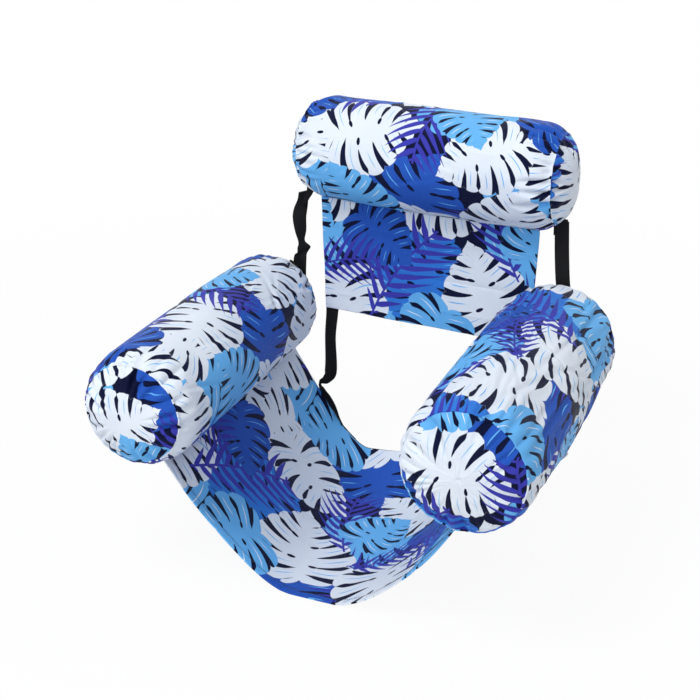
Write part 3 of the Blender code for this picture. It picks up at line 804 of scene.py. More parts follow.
@dataclass(frozen=True)
class Inflation:
    """Cloth simulation that blows a gathered cover up, so its lobes swell and settle."""

    pressure: float = 4.0
    tension: float = 40.0
    compression: float = 10.0
    bending: float = 0.03
    frames: int = 12
    quality: int = 5
    reach: float = 0.012

    def _add_cloth(self, item: bpy.types.Object) -> None:
        """Give the cover its cloth settings, with pressure inside and no weight."""
        cloth = item.modifiers.new("Cloth", "CLOTH")
        values = {"vertex_group_mass": "held", "quality": self.quality, "mass": 0.3,
                  "tension_stiffness": self.tension, "compression_stiffness": self.compression,
                  "shear_stiffness": 5.0, "bending_stiffness": self.bending, "air_damping": 3.0,
                  "use_pressure": True, "uniform_pressure_force": self.pressure}
        for name, value in values.items():
            setattr(cloth.settings, name, value)
        cloth.settings.effector_weights.gravity = 0.0
        cloth.collision_settings.use_collision = False
        cloth.point_cache.frame_start, cloth.point_cache.frame_end = 1, self.frames

    def run(self, points: Array, held: Array) -> Array:
        """Inflate a closed grid.

        Args:
            points: (rows, columns, 3) start, with a pole at each end.
            held: (rows, columns) mask of points that stay.

        Returns:
            The settled points, moved by no more than the reach.
        """
        flat = np.zeros((points.shape[0], points.shape[1] + 1, 2))
        item = sheet_mesh("cover_start", points, flat, True, True)
        order = np.zeros(len(item.data.vertices), int)
        item.data.attributes["spot"].data.foreach_get("value", order)
        group = item.vertex_groups.new(name="held")
        group.add(np.nonzero(held.ravel()[order])[0].tolist(), 1.0, "REPLACE")
        self._add_cloth(item)
        for frame in range(1, self.frames + 1):
            bpy.context.scene.frame_set(frame)
        graph = bpy.context.evaluated_depsgraph_get()
        swollen = np.zeros(len(order) * 3)
        item.evaluated_get(graph).data.vertices.foreach_get("co", swollen)
        settled = points.reshape(-1, 3).copy()
        settled[order] = swollen.reshape(-1, 3)
        columns = points.shape[1]
        for pole in (slice(0, columns), slice(len(settled) - columns, len(settled))):
            first = order[(order >= pole.start) & (order < pole.stop)][0]
            settled[pole] = settled[first]
        bpy.data.objects.remove(item)
        bpy.context.scene.frame_set(1)
        move = settled.reshape(points.shape) - points
        length = np.maximum(np.linalg.norm(move, axis=2, keepdims=True), 1e-9)
        return points + move * np.minimum(1.0, self.reach / length)


@dataclass
class InflatedRoll:
    """An inflated roll: its closed fabric cover, corded end seams, valve slot and valve.

    Around the axis, turn is 0 on the outer side and a quarter turn is up.
    """

    body: str
    centre: tuple
    axis: tuple
    out: tuple
    length: float
    radius: float
    ends: tuple
    seed: int
    cloth_start: tuple
    cap_starts: tuple
    taper: float = 0.0
    rim_draw: float = 0.0155
    shoulder: float = 0.040
    crown: float = 0.003
    bulge: float = 0.0255
    piping: float = 0.0015
    columns: int = 160
    sleeve_rows: int = 96
    cap_rows: int = 22
    body_creases: int = 18
    valve_turn: float = math.radians(-45.0)
    slot_length: float = 0.080
    slot_width: float = 0.034
    slot_depth: float = 0.0022

    def __post_init__(self) -> None:
        """Keep directions as arrays and draw the gathers of both ends."""
        self.centre, self.axis, self.out = (np.array(v, float) for v in
                                            (self.centre, self.axis, self.out))
        self.axis /= np.linalg.norm(self.axis)
        self.gathers = (Gathers(self.seed), Gathers(self.seed + 1))

    @property
    def rim(self) -> float:
        """Radius of the end seams."""
        return self.radius - self.rim_draw

    def spoke(self, turn: Array) -> Array:
        """Unit directions away from the axis at a turn."""
        return np.cos(turn)[..., None] * self.out + np.sin(turn)[..., None] * UP

    def place(self, along: Array, radius: Array, turn: Array) -> Array:
        """World points at a distance along the axis, a radius and a turn."""
        return self.centre + along[..., None] * self.axis + radius[..., None] * self.spoke(turn)

    def rim_radius(self, turn: Array, end: int) -> Array:
        """The seam's radius, drawn in a little between the lobes."""
        return self.rim - self.taper * (2 * end - 1) - 0.0020 * (1.0 - self.gathers[end].lobe(turn))

    def sleeve_form(self, along: Array, turn: Array) -> Array:
        """Radius of the sleeve: round shoulders, a low crown, gathers and slow undulations."""
        away = self.length / 2 - np.abs(along)
        share = np.clip(away / self.shoulder, 0.0, 1.0)
        total = self.rim + (self.rim_draw - self.crown) * (1.0 - (1.0 - share) ** 2.6)
        total = total + self.crown * np.sin(np.clip(away / self.length, 0.0, 1.0) * math.pi)
        total = total - self.taper * 2.0 * along / self.length
        front = self.gathers[0].depth_at(self.length / 2 + along, turn)
        rear = self.gathers[1].depth_at(self.length / 2 - along, turn)
        p = self.gathers[0].phases
        slow = (np.sin(3 * turn + 9 * along + p[0]) * np.sin(17 * along + p[1])
                + 0.6 * np.sin(5 * turn - 21 * along + p[2]))
        middle = np.sin(np.clip(away / 0.06, 0.0, 1.0) * math.pi / 2)
        return total - 0.85 * (front + rear) + 0.0013 * slow * middle

    def cap_form(self, share: Array, turn: Array, end: int) -> Array:
        """Height of a cap over its seam plane: a dome that rises fast, with its gathers."""
        dome = self.bulge * (1.0 - share ** 3.0) ** 0.75
        gathers = self.gathers[end]
        dip = gathers.depth_at((1.0 - share) * self.rim, turn, 1.3)
        rim_share = np.clip((share - 0.32) / 0.48, 0.0, 1.0)
        slow = 0.0014 * np.sin(2 * turn + gathers.phases[7]) * np.sin(share * math.pi)
        return dome - dip * rim_share ** 2 * (3.0 - 2.0 * rim_share) + slow

    def valve_shares(self, along: Array, turn: Array) -> Array:
        """Distance from the slot's middle as a share of its outline, a rounded oblong."""
        across = wrapped(turn - self.valve_turn)
        x = np.maximum(np.abs(along) - (self.slot_length - self.slot_width) / 2, 0.0)
        y = across * self.radius
        return np.hypot(x, y) / (self.slot_width / 2)

    def start_form(self) -> tuple:
        """The gathered cover before it is inflated.

        Returns:
            Its (rows, columns, 3) points, and the caps' ring shares, the sleeve's stations and
            the turns that they stand on.
        """
        turn = np.arange(self.columns) / self.columns * math.tau
        rings = np.linspace(0.0, 1.0, self.cap_rows + 1)
        share, cap_turn = np.meshgrid(rings, turn, indexing="ij")
        half = self.length / 2
        front = self.place(-half - self.cap_form(share, cap_turn, 0),
                           share * self.rim_radius(cap_turn, 0), cap_turn)
        rear = self.place(half + self.cap_form(share, cap_turn, 1),
                          share * self.rim_radius(cap_turn, 1), cap_turn)[::-1]
        even = np.linspace(-1.0, 1.0, self.sleeve_rows + 1)
        along = half * (even + 0.08 * np.sin(even * math.pi))
        along_grid, turn_grid = np.meshgrid(along[1:-1], turn, indexing="ij")
        sleeve = self.place(along_grid, self.sleeve_form(along_grid, turn_grid), turn_grid)
        return np.concatenate((front, sleeve, rear)), rings, along, turn

    def crumple(self, along: Array, turn: Array) -> Array:
        """Shallow creases pressed into the sleeve, each a bell across and a bell along its line."""
        rng = np.random.default_rng(self.seed + 2)
        total = np.zeros(np.broadcast(along, turn).shape)
        for _ in range(self.body_creases):
            where, place = rng.uniform(0.0, math.tau), rng.uniform(-0.38, 0.38) * self.length
            slant, size = rng.normal(0.0, 0.5), rng.uniform(0.0008, 0.0026)
            long, wide = rng.uniform(0.025, 0.075), rng.uniform(0.0028, 0.0055)
            x = along - place
            y = wrapped(turn - where) * self.radius
            across = y * math.cos(slant) - x * math.sin(slant)
            down = x * math.cos(slant) + y * math.sin(slant)
            bell = np.exp(-(down / long) ** 2)
            total += size * bell * (np.exp(-(across / wide) ** 2)
                                    - 0.6 * np.exp(-((across - 2.2 * wide) / wide) ** 2))
        return total

    def make_cover(self, kit: Wardrobe) -> bpy.types.Object:
        """One closed cover: front cap, sleeve and rear cap, inflated, with the slot sunk in."""
        start, rings, along, turn = self.start_form()
        off = np.full(self.cap_rows + 1, OFF_SLEEVE)
        rows = np.concatenate((off, along[1:-1], off))
        row_grid, turn_grid = np.meshgrid(rows, turn, indexing="ij")
        held = self.valve_shares(row_grid, turn_grid) < 1.4
        points = refine(Inflation().run(start, held))
        fine_rows = np.interp(np.arange(len(points)) / 2, np.arange(len(rows)), rows)
        fine_turn = np.arange(2 * self.columns) / self.columns * math.pi
        row_grid, turn_grid = np.meshgrid(fine_rows, fine_turn, indexing="ij")
        on_sleeve = np.abs(row_grid) < self.length / 2
        past = np.clip((self.valve_shares(row_grid, turn_grid) - 0.9) / 0.2, 0.0, 1.0)
        sunk = self.slot_depth * (1.0 - past)
        crumple = self.crumple(row_grid, turn_grid) * (sunk == 0.0)
        points = points - self.spoke(turn_grid) * ((sunk + crumple) * on_sleeve)[..., None]
        self.seams = tuple(points[row] for row in (2 * self.cap_rows, -2 * self.cap_rows - 1))
        wide = np.arange(self.columns + 1) / self.columns * math.tau
        cloth = refine_cloth(*self._cloth(rings, along, wide))
        cover = grid_mesh(self.body + "_cover", points, *cloth, True)
        if np.dot(np.cross(self.axis, self.out), UP) > 0.0:
            cover.data.flip_normals()
        return dress(cover, kit.fabric)

    def _cloth(self, rings: Array, along: Array, turn: Array) -> tuple:
        """Cloth coordinates: flat discs for the caps, the unrolled sleeve between them.

        Args:
            rings: shares of the caps' rings.
            along: the sleeve's stations.
            turn: angles of the columns, the first one repeated.

        Returns:
            Coordinates at each face row's first and second side.
        """
        base = np.array(self.cloth_start)
        disc = rings[:, None, None] * self.rim * 1.08 * np.stack((np.cos(turn), np.sin(turn)), 1)
        front, rear = disc + self.cap_starts[0], disc[::-1] + self.cap_starts[1]
        girth, run = np.meshgrid(turn * self.radius, along)
        sleeve = np.stack((run, girth), 2) + base
        starts = np.concatenate((front[:-1], sleeve[:-1], rear[:-1]))
        ends = np.concatenate((front[1:], sleeve[1:], rear[1:]))
        return starts, ends

    def make_piping(self, end: int, kit: Wardrobe) -> bpy.types.Object:
        """Corded seam round one end, dyed as the sleeve's edge beside it."""
        path = self.seams[end]
        turn = np.arange(len(path) + 1) / len(path) * math.tau
        run = np.full_like(turn, (end - 0.5) * self.length)
        line = np.stack((run, turn * self.radius), 1) + self.cloth_start
        cord = tube(f"{self.body}_{self.ends[end]}_cord", path, self.piping, True, kit.fabric,
                    cloth_line=line)
        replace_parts(cord, f"{self.body}_{self.ends[end]}_piping")
        return cord

    def slot_outline(self, spot: Array, share: object = 1.0) -> tuple:
        """Places along and turns at angles round the slot, on its outline or a share of it."""
        straight = (self.slot_length - self.slot_width) / 2
        along = share * (np.cos(spot) * self.slot_width / 2 + np.sign(np.cos(spot)) * straight)
        return along, self.valve_turn + share * np.sin(spot) * self.slot_width / 2 / self.radius

    def make_film(self, kit: Wardrobe) -> bpy.types.Object:
        """The bladder's film, which shows in the slot under the valve."""
        along, turn = self.slot_outline(np.arange(65) / 64 * math.tau,
                                        np.linspace(0.0, 1.02, 9)[:, None])
        ripple = 0.0004 * np.sin(along * 160.0 + turn * 40.0)
        points = self.place(along, self.radius - self.slot_depth + 0.0006 + ripple, turn)[:, :-1]
        film = sheet_mesh(self.body + "_film", points, np.stack((along, turn), 2), True)
        return dress(film, kit.film)

    def make_slot_binding(self, kit: Wardrobe) -> bpy.types.Object:
        """Rolled binding round the valve slot."""
        along, turn = self.slot_outline(np.arange(96) / 96 * math.tau)
        path = self.place(along, self.sleeve_form(along, turn) + 0.0002, turn)
        return tube(self.body + "_slot_binding", path, 0.0016, True, kit.fabric)

    def turned(self, name: str, profile: Sequence[tuple],
               material: bpy.types.Material) -> bpy.types.Object:
        """Turn a profile of (radius, height) about the valve's axis.

        Args:
            name: the piece's name.
            profile: its points down the outer side.
            material: its finish.
        Returns:
            The turned piece, in place on the roll.
        """
        steps = 40
        outward = self.spoke(np.array(self.valve_turn))
        foot = self.centre + outward * (self.radius - 0.0015)
        shape = np.array(profile)
        spoke = ring(self.axis, np.cross(outward, self.axis), steps)
        points = foot + np.maximum(shape[:, :1, None], POINT) * spoke + shape[:, 1:, None] * outward
        wide = np.arange(steps + 1) / steps
        run = np.arange(len(shape)) / len(shape)
        cloth = np.stack(np.broadcast_arrays(wide[None, :], run[:, None]), 2)
        piece = dress(sheet_mesh(name, points, cloth, True), material)
        bend = piece.modifiers.new("Soft edges", "BEVEL")
        bend.width, bend.segments, bend.limit_method = 0.0003, 2, "ANGLE"
        return piece

    def make_valve(self, kit: Wardrobe) -> tuple:
        """The valve's body and its plug with a grip bead."""
        valve = self.turned(self.body + "_inlet", [
            (0.0046, 0.0076), (0.0062, 0.0080), (0.0070, 0.0074), (0.0070, 0.0030),
            (0.0078, 0.0018), (0.0136, 0.0013), (0.0140, 0.0009), (0.0140, 0.0003),
            (0.0070, 0.0003), (0.0070, -0.0060), (0.0046, -0.0060), (0.0046, 0.0076)], kit.vinyl)
        plug = self.turned(self.body + "_stopper", [
            (0.0, 0.0104), (0.0030, 0.0106), (0.0064, 0.0102), (0.0078, 0.0094), (0.0080, 0.0086),
            (0.0076, 0.0083), (0.0042, 0.0083), (0.0041, 0.0026), (0.0, 0.0024)], kit.vinyl)
        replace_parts(valve, self.body + "_valve")
        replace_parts(plug, self.body + "_valve_plug")
        return valve, plug

    def build(self, kit: Wardrobe) -> None:
        """Make the roll's pieces and let them ride on its body."""
        cover = self.make_cover(kit)
        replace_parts(cover, f"{self.body}_sleeve", f"{self.body}_bladder",
                    f"{self.body}_{self.ends[0]}_cap", f"{self.body}_{self.ends[1]}_cap")
        valve, plug = self.make_valve(kit)
        pieces = [cover, self.make_piping(0, kit), self.make_piping(1, kit),
                  self.make_slot_binding(kit)]
        for piece in pieces:
            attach(piece, self.body)
        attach(self.make_film(kit), self.body)
        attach(valve, self.body)
        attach(plug, self.body + "_plug")
        self.skin = BVHTree.FromObject(cover, bpy.context.evaluated_depsgraph_get())
        LOG.info("roll %s: cover, seams, slot and valve", self.body)

    def reach_to(self, points: Array, direction: tuple) -> Array:
        """Distance from each point to the cover, along a direction."""
        line = Vector(direction)
        ways = [self.skin.ray_cast(Vector(p), line)[3] for p in points.reshape(-1, 3)]
        return np.array([0.0 if way is None else way for way in ways]).reshape(points.shape[:-1])


@dataclass
class SeatSling:
    """Hung seat: a sheet whose section is flat in the middle and rises as a power curve.

    Its sides end in seams under the armrests, where the rolls are met from below.
    """

    rolls: dict
    left_insets: tuple = (0.005, 0.034)
    right_insets: tuple = (0.011, 0.026)
    half_width: float = 0.235
    top: float = 0.2040
    front: float = -0.2730
    rear: float = 0.1805
    flat: tuple = (0.030, 0.091)
    power: tuple = (1.85, 1.50)
    rear_bow: float = 0.030
    rear_lift: float = 0.036
    rear_lift_length: float = 0.100
    sole_cut: float = 0.0005
    thickness: float = 0.0016
    columns: int = 320
    rows: int = 200
    strip_rows: int = 6
    cloth_start: tuple = (0.10, 0.335)
    ray_height: float = 0.05
    seam_gap: float = 0.0022

    def __post_init__(self) -> None:
        """Tabulate half widths at even steps of girth."""
        width = np.linspace(0.0, self.half_width, 600)
        height = self.top * self.bend(width, 0.0)
        girth = run_lengths(np.stack((width, height), 1))
        self.girth, self._shares, self._widths = girth[-1], girth / girth[-1], width
        self.seams = {side: self.find_seam(side) for side in (-1.0, 1.0)}

    def find_seam(self, side: float) -> tuple:
        """Stations along y of one seam, with how far it lies off the plain form in x and z."""
        roll = self.rolls["left" if side < 0.0 else "right"]
        insets = self.left_insets if side < 0.0 else self.right_insets
        y = np.linspace(self.front, self.rear, 93)
        x = (roll.centre[0] + roll.axis[0] / roll.axis[1] * (y - roll.centre[1])
             - side * np.interp(y, (self.front, self.rear), insets))
        start = np.stack((x, y, np.full_like(y, self.ray_height)), 1)
        under = self.ray_height + windows(roll.reach_to(start, UP), 0, 5).mean(-1)
        return y, x - side * self.half_width, under - self.seam_gap - self.top

    def cloth_at(self, share: Array, y: Array) -> Array:
        """Cloth coordinates: girth across the seat, and y along it."""
        return np.stack((share * self.girth, y), -1) + self.cloth_start

    def bend(self, half: Array, rearward: Array) -> Array:
        """How far up the section has come at a half width: a power past its flat strip."""
        flat = self.flat[0] + (self.flat[1] - self.flat[0]) * rearward ** 2
        power = self.power[0] + (self.power[1] - self.power[0]) * rearward
        return np.clip((half - flat) / (self.half_width - flat), 0.0, 1.0) ** power

    def form(self, share: Array, y: Array) -> Array:
        """Smooth outer side of the sling.

        Args:
            share: from -1 at the left seam to 1 at the right one.
            y: places from front to rear.

        Returns:
            World points; the section rises as a power of the half width past a flat strip, the
            rear end lifts as a square, and the rear edge bows as a bell.
        """
        half = np.interp(np.abs(share), self._shares, self._widths)
        lifted = np.clip((y - self.rear + self.rear_lift_length) / self.rear_lift_length, 0.0, None)
        lift = self.rear_lift * lifted ** 2
        rearward = np.clip((y - self.front) / (self.rear - self.front), 0.0, 1.0)
        bend = self.bend(half, rearward)
        height = lift + (self.top + self.sole_cut - lift) * bend - self.sole_cut
        off_x, off_z = (np.where(share < 0.0, *(np.interp(y, seam[0], seam[k])
                                                for seam in self.seams.values())) for k in (1, 2))
        bow = self.rear_bow * rearward ** 6 * np.exp(-((share - 0.20) / 0.30) ** 2)
        return np.stack((np.sign(share) * half + off_x * bend, y + bow,
                         np.maximum(height + off_z * bend, 0.0)), -1)

    def relief(self, share: Array, y: Array) -> Array:
        """Folds of the hung cloth: puckers at the seams, fold marks and slow tension waves.

        The puckers are sine lobes along the seam that fade with girth; a fold mark is
        exp(-|distance| / width); the waves slant from the seams to the middle.
        """
        from_seam = (1.0 - np.abs(share)) * self.girth
        lobes = np.abs(np.sin(y * 95.0 + 2.0 * np.sin(y * 23.0) + np.sign(share)))
        pucker = -0.0022 * lobes * from_seam / 0.012 * np.exp(1.0 - from_seam / 0.012) * 0.6
        across = share * self.girth
        fold = (0.0022 * fold_mark(across - 0.012, 0.007) + 0.0013 * fold_mark(across + 0.19, 0.005)
                + 0.0012 * fold_mark(across - 0.205, 0.005)
                - 0.0014 * fold_mark(y + 0.055 - 0.05 * share, 0.006))
        slant = across * np.sign(share) * 0.6 + y
        wave = 0.0016 * np.sin(slant * 34.0 + 1.2) * np.sin(np.abs(share) * math.pi) ** 2
        sag = 0.0012 * np.sin(across * 27.0 + 3.0 * y)
        return pucker + fold + wave + sag

    def surface(self, share: Array, y: Array) -> Array:
        """The folded outer side; where it rests it stays flat on the floor."""
        smooth = self.form(share, y)
        rest = np.clip(smooth[..., 2:] / 0.004, 0.0, 1.0)
        points = smooth + upward_normals(smooth) * self.relief(share, y)[..., None] * rest
        points[..., 2] = np.maximum(points[..., 2], 0.0)
        return points

    def make_sling(self, kit: Wardrobe) -> bpy.types.Object:
        """The seat's cloth."""
        y, share = np.meshgrid(np.linspace(self.front, self.rear, self.rows + 1),
                               np.linspace(-1.0, 1.0, self.columns + 1), indexing="ij")
        points = self.surface(share, y)
        points[..., 1] += 0.0009 * (np.cos(share * 9.0) - 1.0) * (y - self.front > 0.3)
        sling = sheet_mesh("seat_cloth", points, self.cloth_at(share, y))
        thicken(dress(sling, kit.fabric), self.thickness, thick_side(sling, UP))
        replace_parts(sling, "seat_sling")
        return sling

    def strip(self, name: str, start: float, width: float, distance: float, reach: float,
              material: bpy.types.Material) -> bpy.types.Object:
        """Strip that follows the sling across the seat.

        Args:
            name: the piece's name.
            start: its front edge's y.
            width: its width along y.
            distance: its distance over the outer side, positive on the sitter's side.
            reach: share of the girth that it covers on each side.
            material: its finish.

        Returns:
            The strip.
        """
        y, share = np.meshgrid(np.linspace(start, start + width, self.strip_rows + 1),
                               np.linspace(-reach, reach, self.columns + 1), indexing="ij")
        points = self.surface(share, y)
        points = points + upward_normals(points) * distance
        return dress(sheet_mesh(name, points, self.cloth_at(share, y)), material)

    def edge(self, share: Array, y: float, distance: float) -> tuple:
        """Line across the sling at one y, lifted off it, and its normals."""
        spots = y + np.array((-0.001, 0.0, 0.001))[:, None] + 0.0 * share
        points = self.surface(np.stack((share,) * 3), spots)
        normal = upward_normals(points)[1]
        return points[1] + normal * distance, normal

    def make_hem(self, kit: Wardrobe) -> list:
        """Turned front hem on the sitter's side, with its row of stitches."""
        hem = self.strip("seat_front_fold", self.front, 0.014, self.thickness + 0.0003, 0.998,
                         kit.fabric)
        thicken(hem, 0.0007, 1.0)
        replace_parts(hem, "seat_front_hem")
        share = np.linspace(-0.99, 0.99, 400)
        line, normal = self.edge(share, self.front + 0.0115, self.thickness + 0.0012)
        return [hem, stitches("seat_front_stitches", line, normal, kit.thread)]

    def make_webbing(self, kit: Wardrobe) -> bpy.types.Object:
        """Webbing sewn under the rear edge."""
        band = self.strip("seat_rear_band", self.rear - 0.024, 0.025, -0.0012, 0.50, kit.webbing)
        thicken(band, 0.0014)
        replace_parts(band, "seat_rear_webbing")
        return band

    def make_seam(self, side: float, side_name: str, kit: Wardrobe) -> bpy.types.Object:
        """Corded seam to an armrest."""
        y, off_x, off_z = self.seams[side]
        path = np.stack((side * self.half_width + off_x, y,
                         self.top + off_z + 0.0014 + 0.0003 * np.sin(y * 190.0)), 1)
        cord = tube(side_name + "_seat_cord", path, 0.0018, False, kit.fabric,
                    cloth_line=self.cloth_at(np.full_like(y, side), y))
        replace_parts(cord, side_name + "_seat_seam")
        return cord

    def build(self, kit: Wardrobe) -> None:
        """Make the seat's pieces, which ride on the seat."""
        for side, side_name in ((-1.0, "left"), (1.0, "right")):
            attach(self.make_seam(side, side_name, kit), "seat")
        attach(self.make_sling(kit), "seat")
        for piece in self.make_hem(kit):
            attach(piece, "seat")
        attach(self.make_webbing(kit), "seat")
        LOG.info("seat sling, hem, webbing and seams")


@dataclass
class BackPanel:
    """Fabric panel that hangs under the headrest, with folded hems and fold marks.

    Its grid runs by shares: across from -1 to 1, and down from 0 at the headrest to 1.
    """

    headrest: InflatedRoll
    half_top: float = 0.204
    half_bottom: float = 0.196
    bottom: tuple = (0.2872, 0.2748)
    y: float = 0.2315
    thickness: float = 0.0015
    bow: float = 0.004
    hem: float = 0.012
    cloth_start: tuple = (0.36, -0.18)
    ray_height: float = 0.40
    lap: float = 0.0006

    def __post_init__(self) -> None:
        """Find the headrest's underside, which the panel is sewn to."""
        x = np.linspace(-1.0, 1.0, 81)
        start = np.stack((x * self.half_top, np.full_like(x, self.y),
                          np.full_like(x, self.ray_height)), 1)
        reach = self.headrest.reach_to(start, UP)
        self.shares, self.tops = x, self.ray_height - self.lap + windows(reach, 0).mean(-1)

    @property
    def drop(self) -> float:
        """Height of the panel at its middle."""
        return float(np.mean(self.tops) - np.mean(self.bottom))

    def surface(self, across: Array, down: Array) -> Array:
        """The panel's front side: bowed back, with fold marks on a loose grid.

        A fold mark is exp(-|distance| / width), raised or sunk by turns.

        Args:
            across: shares from -1 at the left edge to 1 at the right one.
            down: shares from 0 at the headrest to 1 at the lower edge.

        Returns:
            World points.
        """
        x = across * (self.half_top + (self.half_bottom - self.half_top) * down)
        top = np.interp(across, self.shares, self.tops)
        low = self.bottom[0] + (self.bottom[1] - self.bottom[0]) * (across + 1.0) / 2
        z = top + (low - top) * down
        hang = np.sin(np.clip(down, 0.0, 1.0) * math.pi)
        marks = np.zeros_like(x)
        for place, size in ((-0.118, 0.0014), (-0.022, -0.0012), (0.084, 0.0013), (0.157, -0.0009)):
            marks = marks + size * fold_mark(x - place - 0.02 * (z - 0.38), 0.004)
        for place, size in ((0.447, -0.0011), (0.372, 0.0013), (0.315, -0.0010)):
            marks = marks + size * fold_mark(z - place + 0.015 * x, 0.004)
        wave = 0.0020 * np.sin(x * 41.0 + 1.0) * np.clip(down - 0.6, 0.0, 1.0)
        gather = 0.0009 * np.abs(np.sin(x * 130.0)) * np.exp(-down / 0.08)
        slow = 0.0014 * np.sin(x * 19.0 + z * 23.0) * np.sin(z * 31.0)
        y = (self.y - self.thickness / 2 + self.bow * (1.0 - across ** 2) * hang
             + (marks + slow) * np.minimum(1.0, down * 12.0) + wave + gather)
        return np.stack((x, y, z), -1)

    def patch(self, name: str, low: tuple, high: tuple, shift: float, counts: tuple,
              kit: Wardrobe) -> bpy.types.Object:
        """Part of the panel's surface between two corners (across, down), moved along y.

        Args:
            name: the piece's name.
            low: shares at its first corner.
            high: shares at its opposite corner.
            shift: how far behind the front side it lies.
            counts: faces across and down.
            kit: the finishes.

        Returns:
            The patch.
        """
        down, across = np.meshgrid(np.linspace(low[1], high[1], counts[1] + 1),
                                   np.linspace(low[0], high[0], counts[0] + 1), indexing="ij")
        points = self.surface(across, down)
        cloth = points[..., ::2] + self.cloth_start
        points[..., 1] += shift
        return dress(sheet_mesh(name, points, cloth), kit.fabric)

    def build(self, kit: Wardrobe) -> None:
        """Make the panel, its hems, its seam and its stitches."""
        cloth = self.patch("panel_cloth", (-1.0, 0.0), (1.0, 1.0), 0.0, (220, 130), kit)
        thicken(cloth, self.thickness, thick_side(cloth, (0.0, -1.0, 0.0)))
        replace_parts(cloth, "back_panel")
        back = self.thickness + 0.0006
        low, side = 1.0 - self.hem / self.drop, 1.0 - self.hem / self.half_top
        end, pieces = low - 0.003, [cloth]
        for part, first, last, counts in (("bottom", (-1.0, low), (1.0, 1.0), (180, 4)),
                                          ("left", (-1.0, 0.02), (-side, end), (4, 90)),
                                          ("right", (side, 0.02), (1.0, end), (4, 90))):
            piece = self.patch(f"panel_{part}_fold", first, last, back, counts, kit)
            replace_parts(thicken(piece, 0.0008), f"back_panel_{part}_hem")
            pieces.append(piece)
        across = np.linspace(-1.0, 1.0, 160)
        top = self.surface(across, 0.0 * across) + (0.0, 0.0005, 0.0)
        cord = tube("panel_top_cord", top, 0.0016, False, kit.fabric,
                    cloth_line=top[:, ::2] + self.cloth_start)
        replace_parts(cord, "back_panel_top_seam")
        pieces += [cord, *self.stitch_rows(kit)]
        for piece in pieces:
            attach(piece, "back_panel")
        LOG.info("back panel, hems, seam and stitches")

    def stitch_rows(self, kit: Wardrobe) -> list:
        """Stitches along the hems, on both sides of the panel."""
        inset = self.hem - 0.0025
        side, low = 1.0 - inset / self.half_top, 1.0 - inset / self.drop
        down, across = np.linspace(0.03, low, 120), np.linspace(-side, side, 160)
        rows = []
        for name, line_across, line_down in (("bottom", across, np.full_like(across, low)),
                                             ("left", np.full_like(down, -side), down),
                                             ("right", np.full_like(down, side), down)):
            line = self.surface(line_across, line_down)
            for face, shift, sense in (("front", -0.0002, -1.0),
                                       ("rear", self.thickness + 0.0012, 1.0)):
                lift = np.tile((0.0, sense, 0.0), (len(line), 1))
                rows.append(stitches(f"panel_{name}_{face}_stitches", line + (0.0, shift, 0.0),
                                     lift, kit.thread))
        return rows


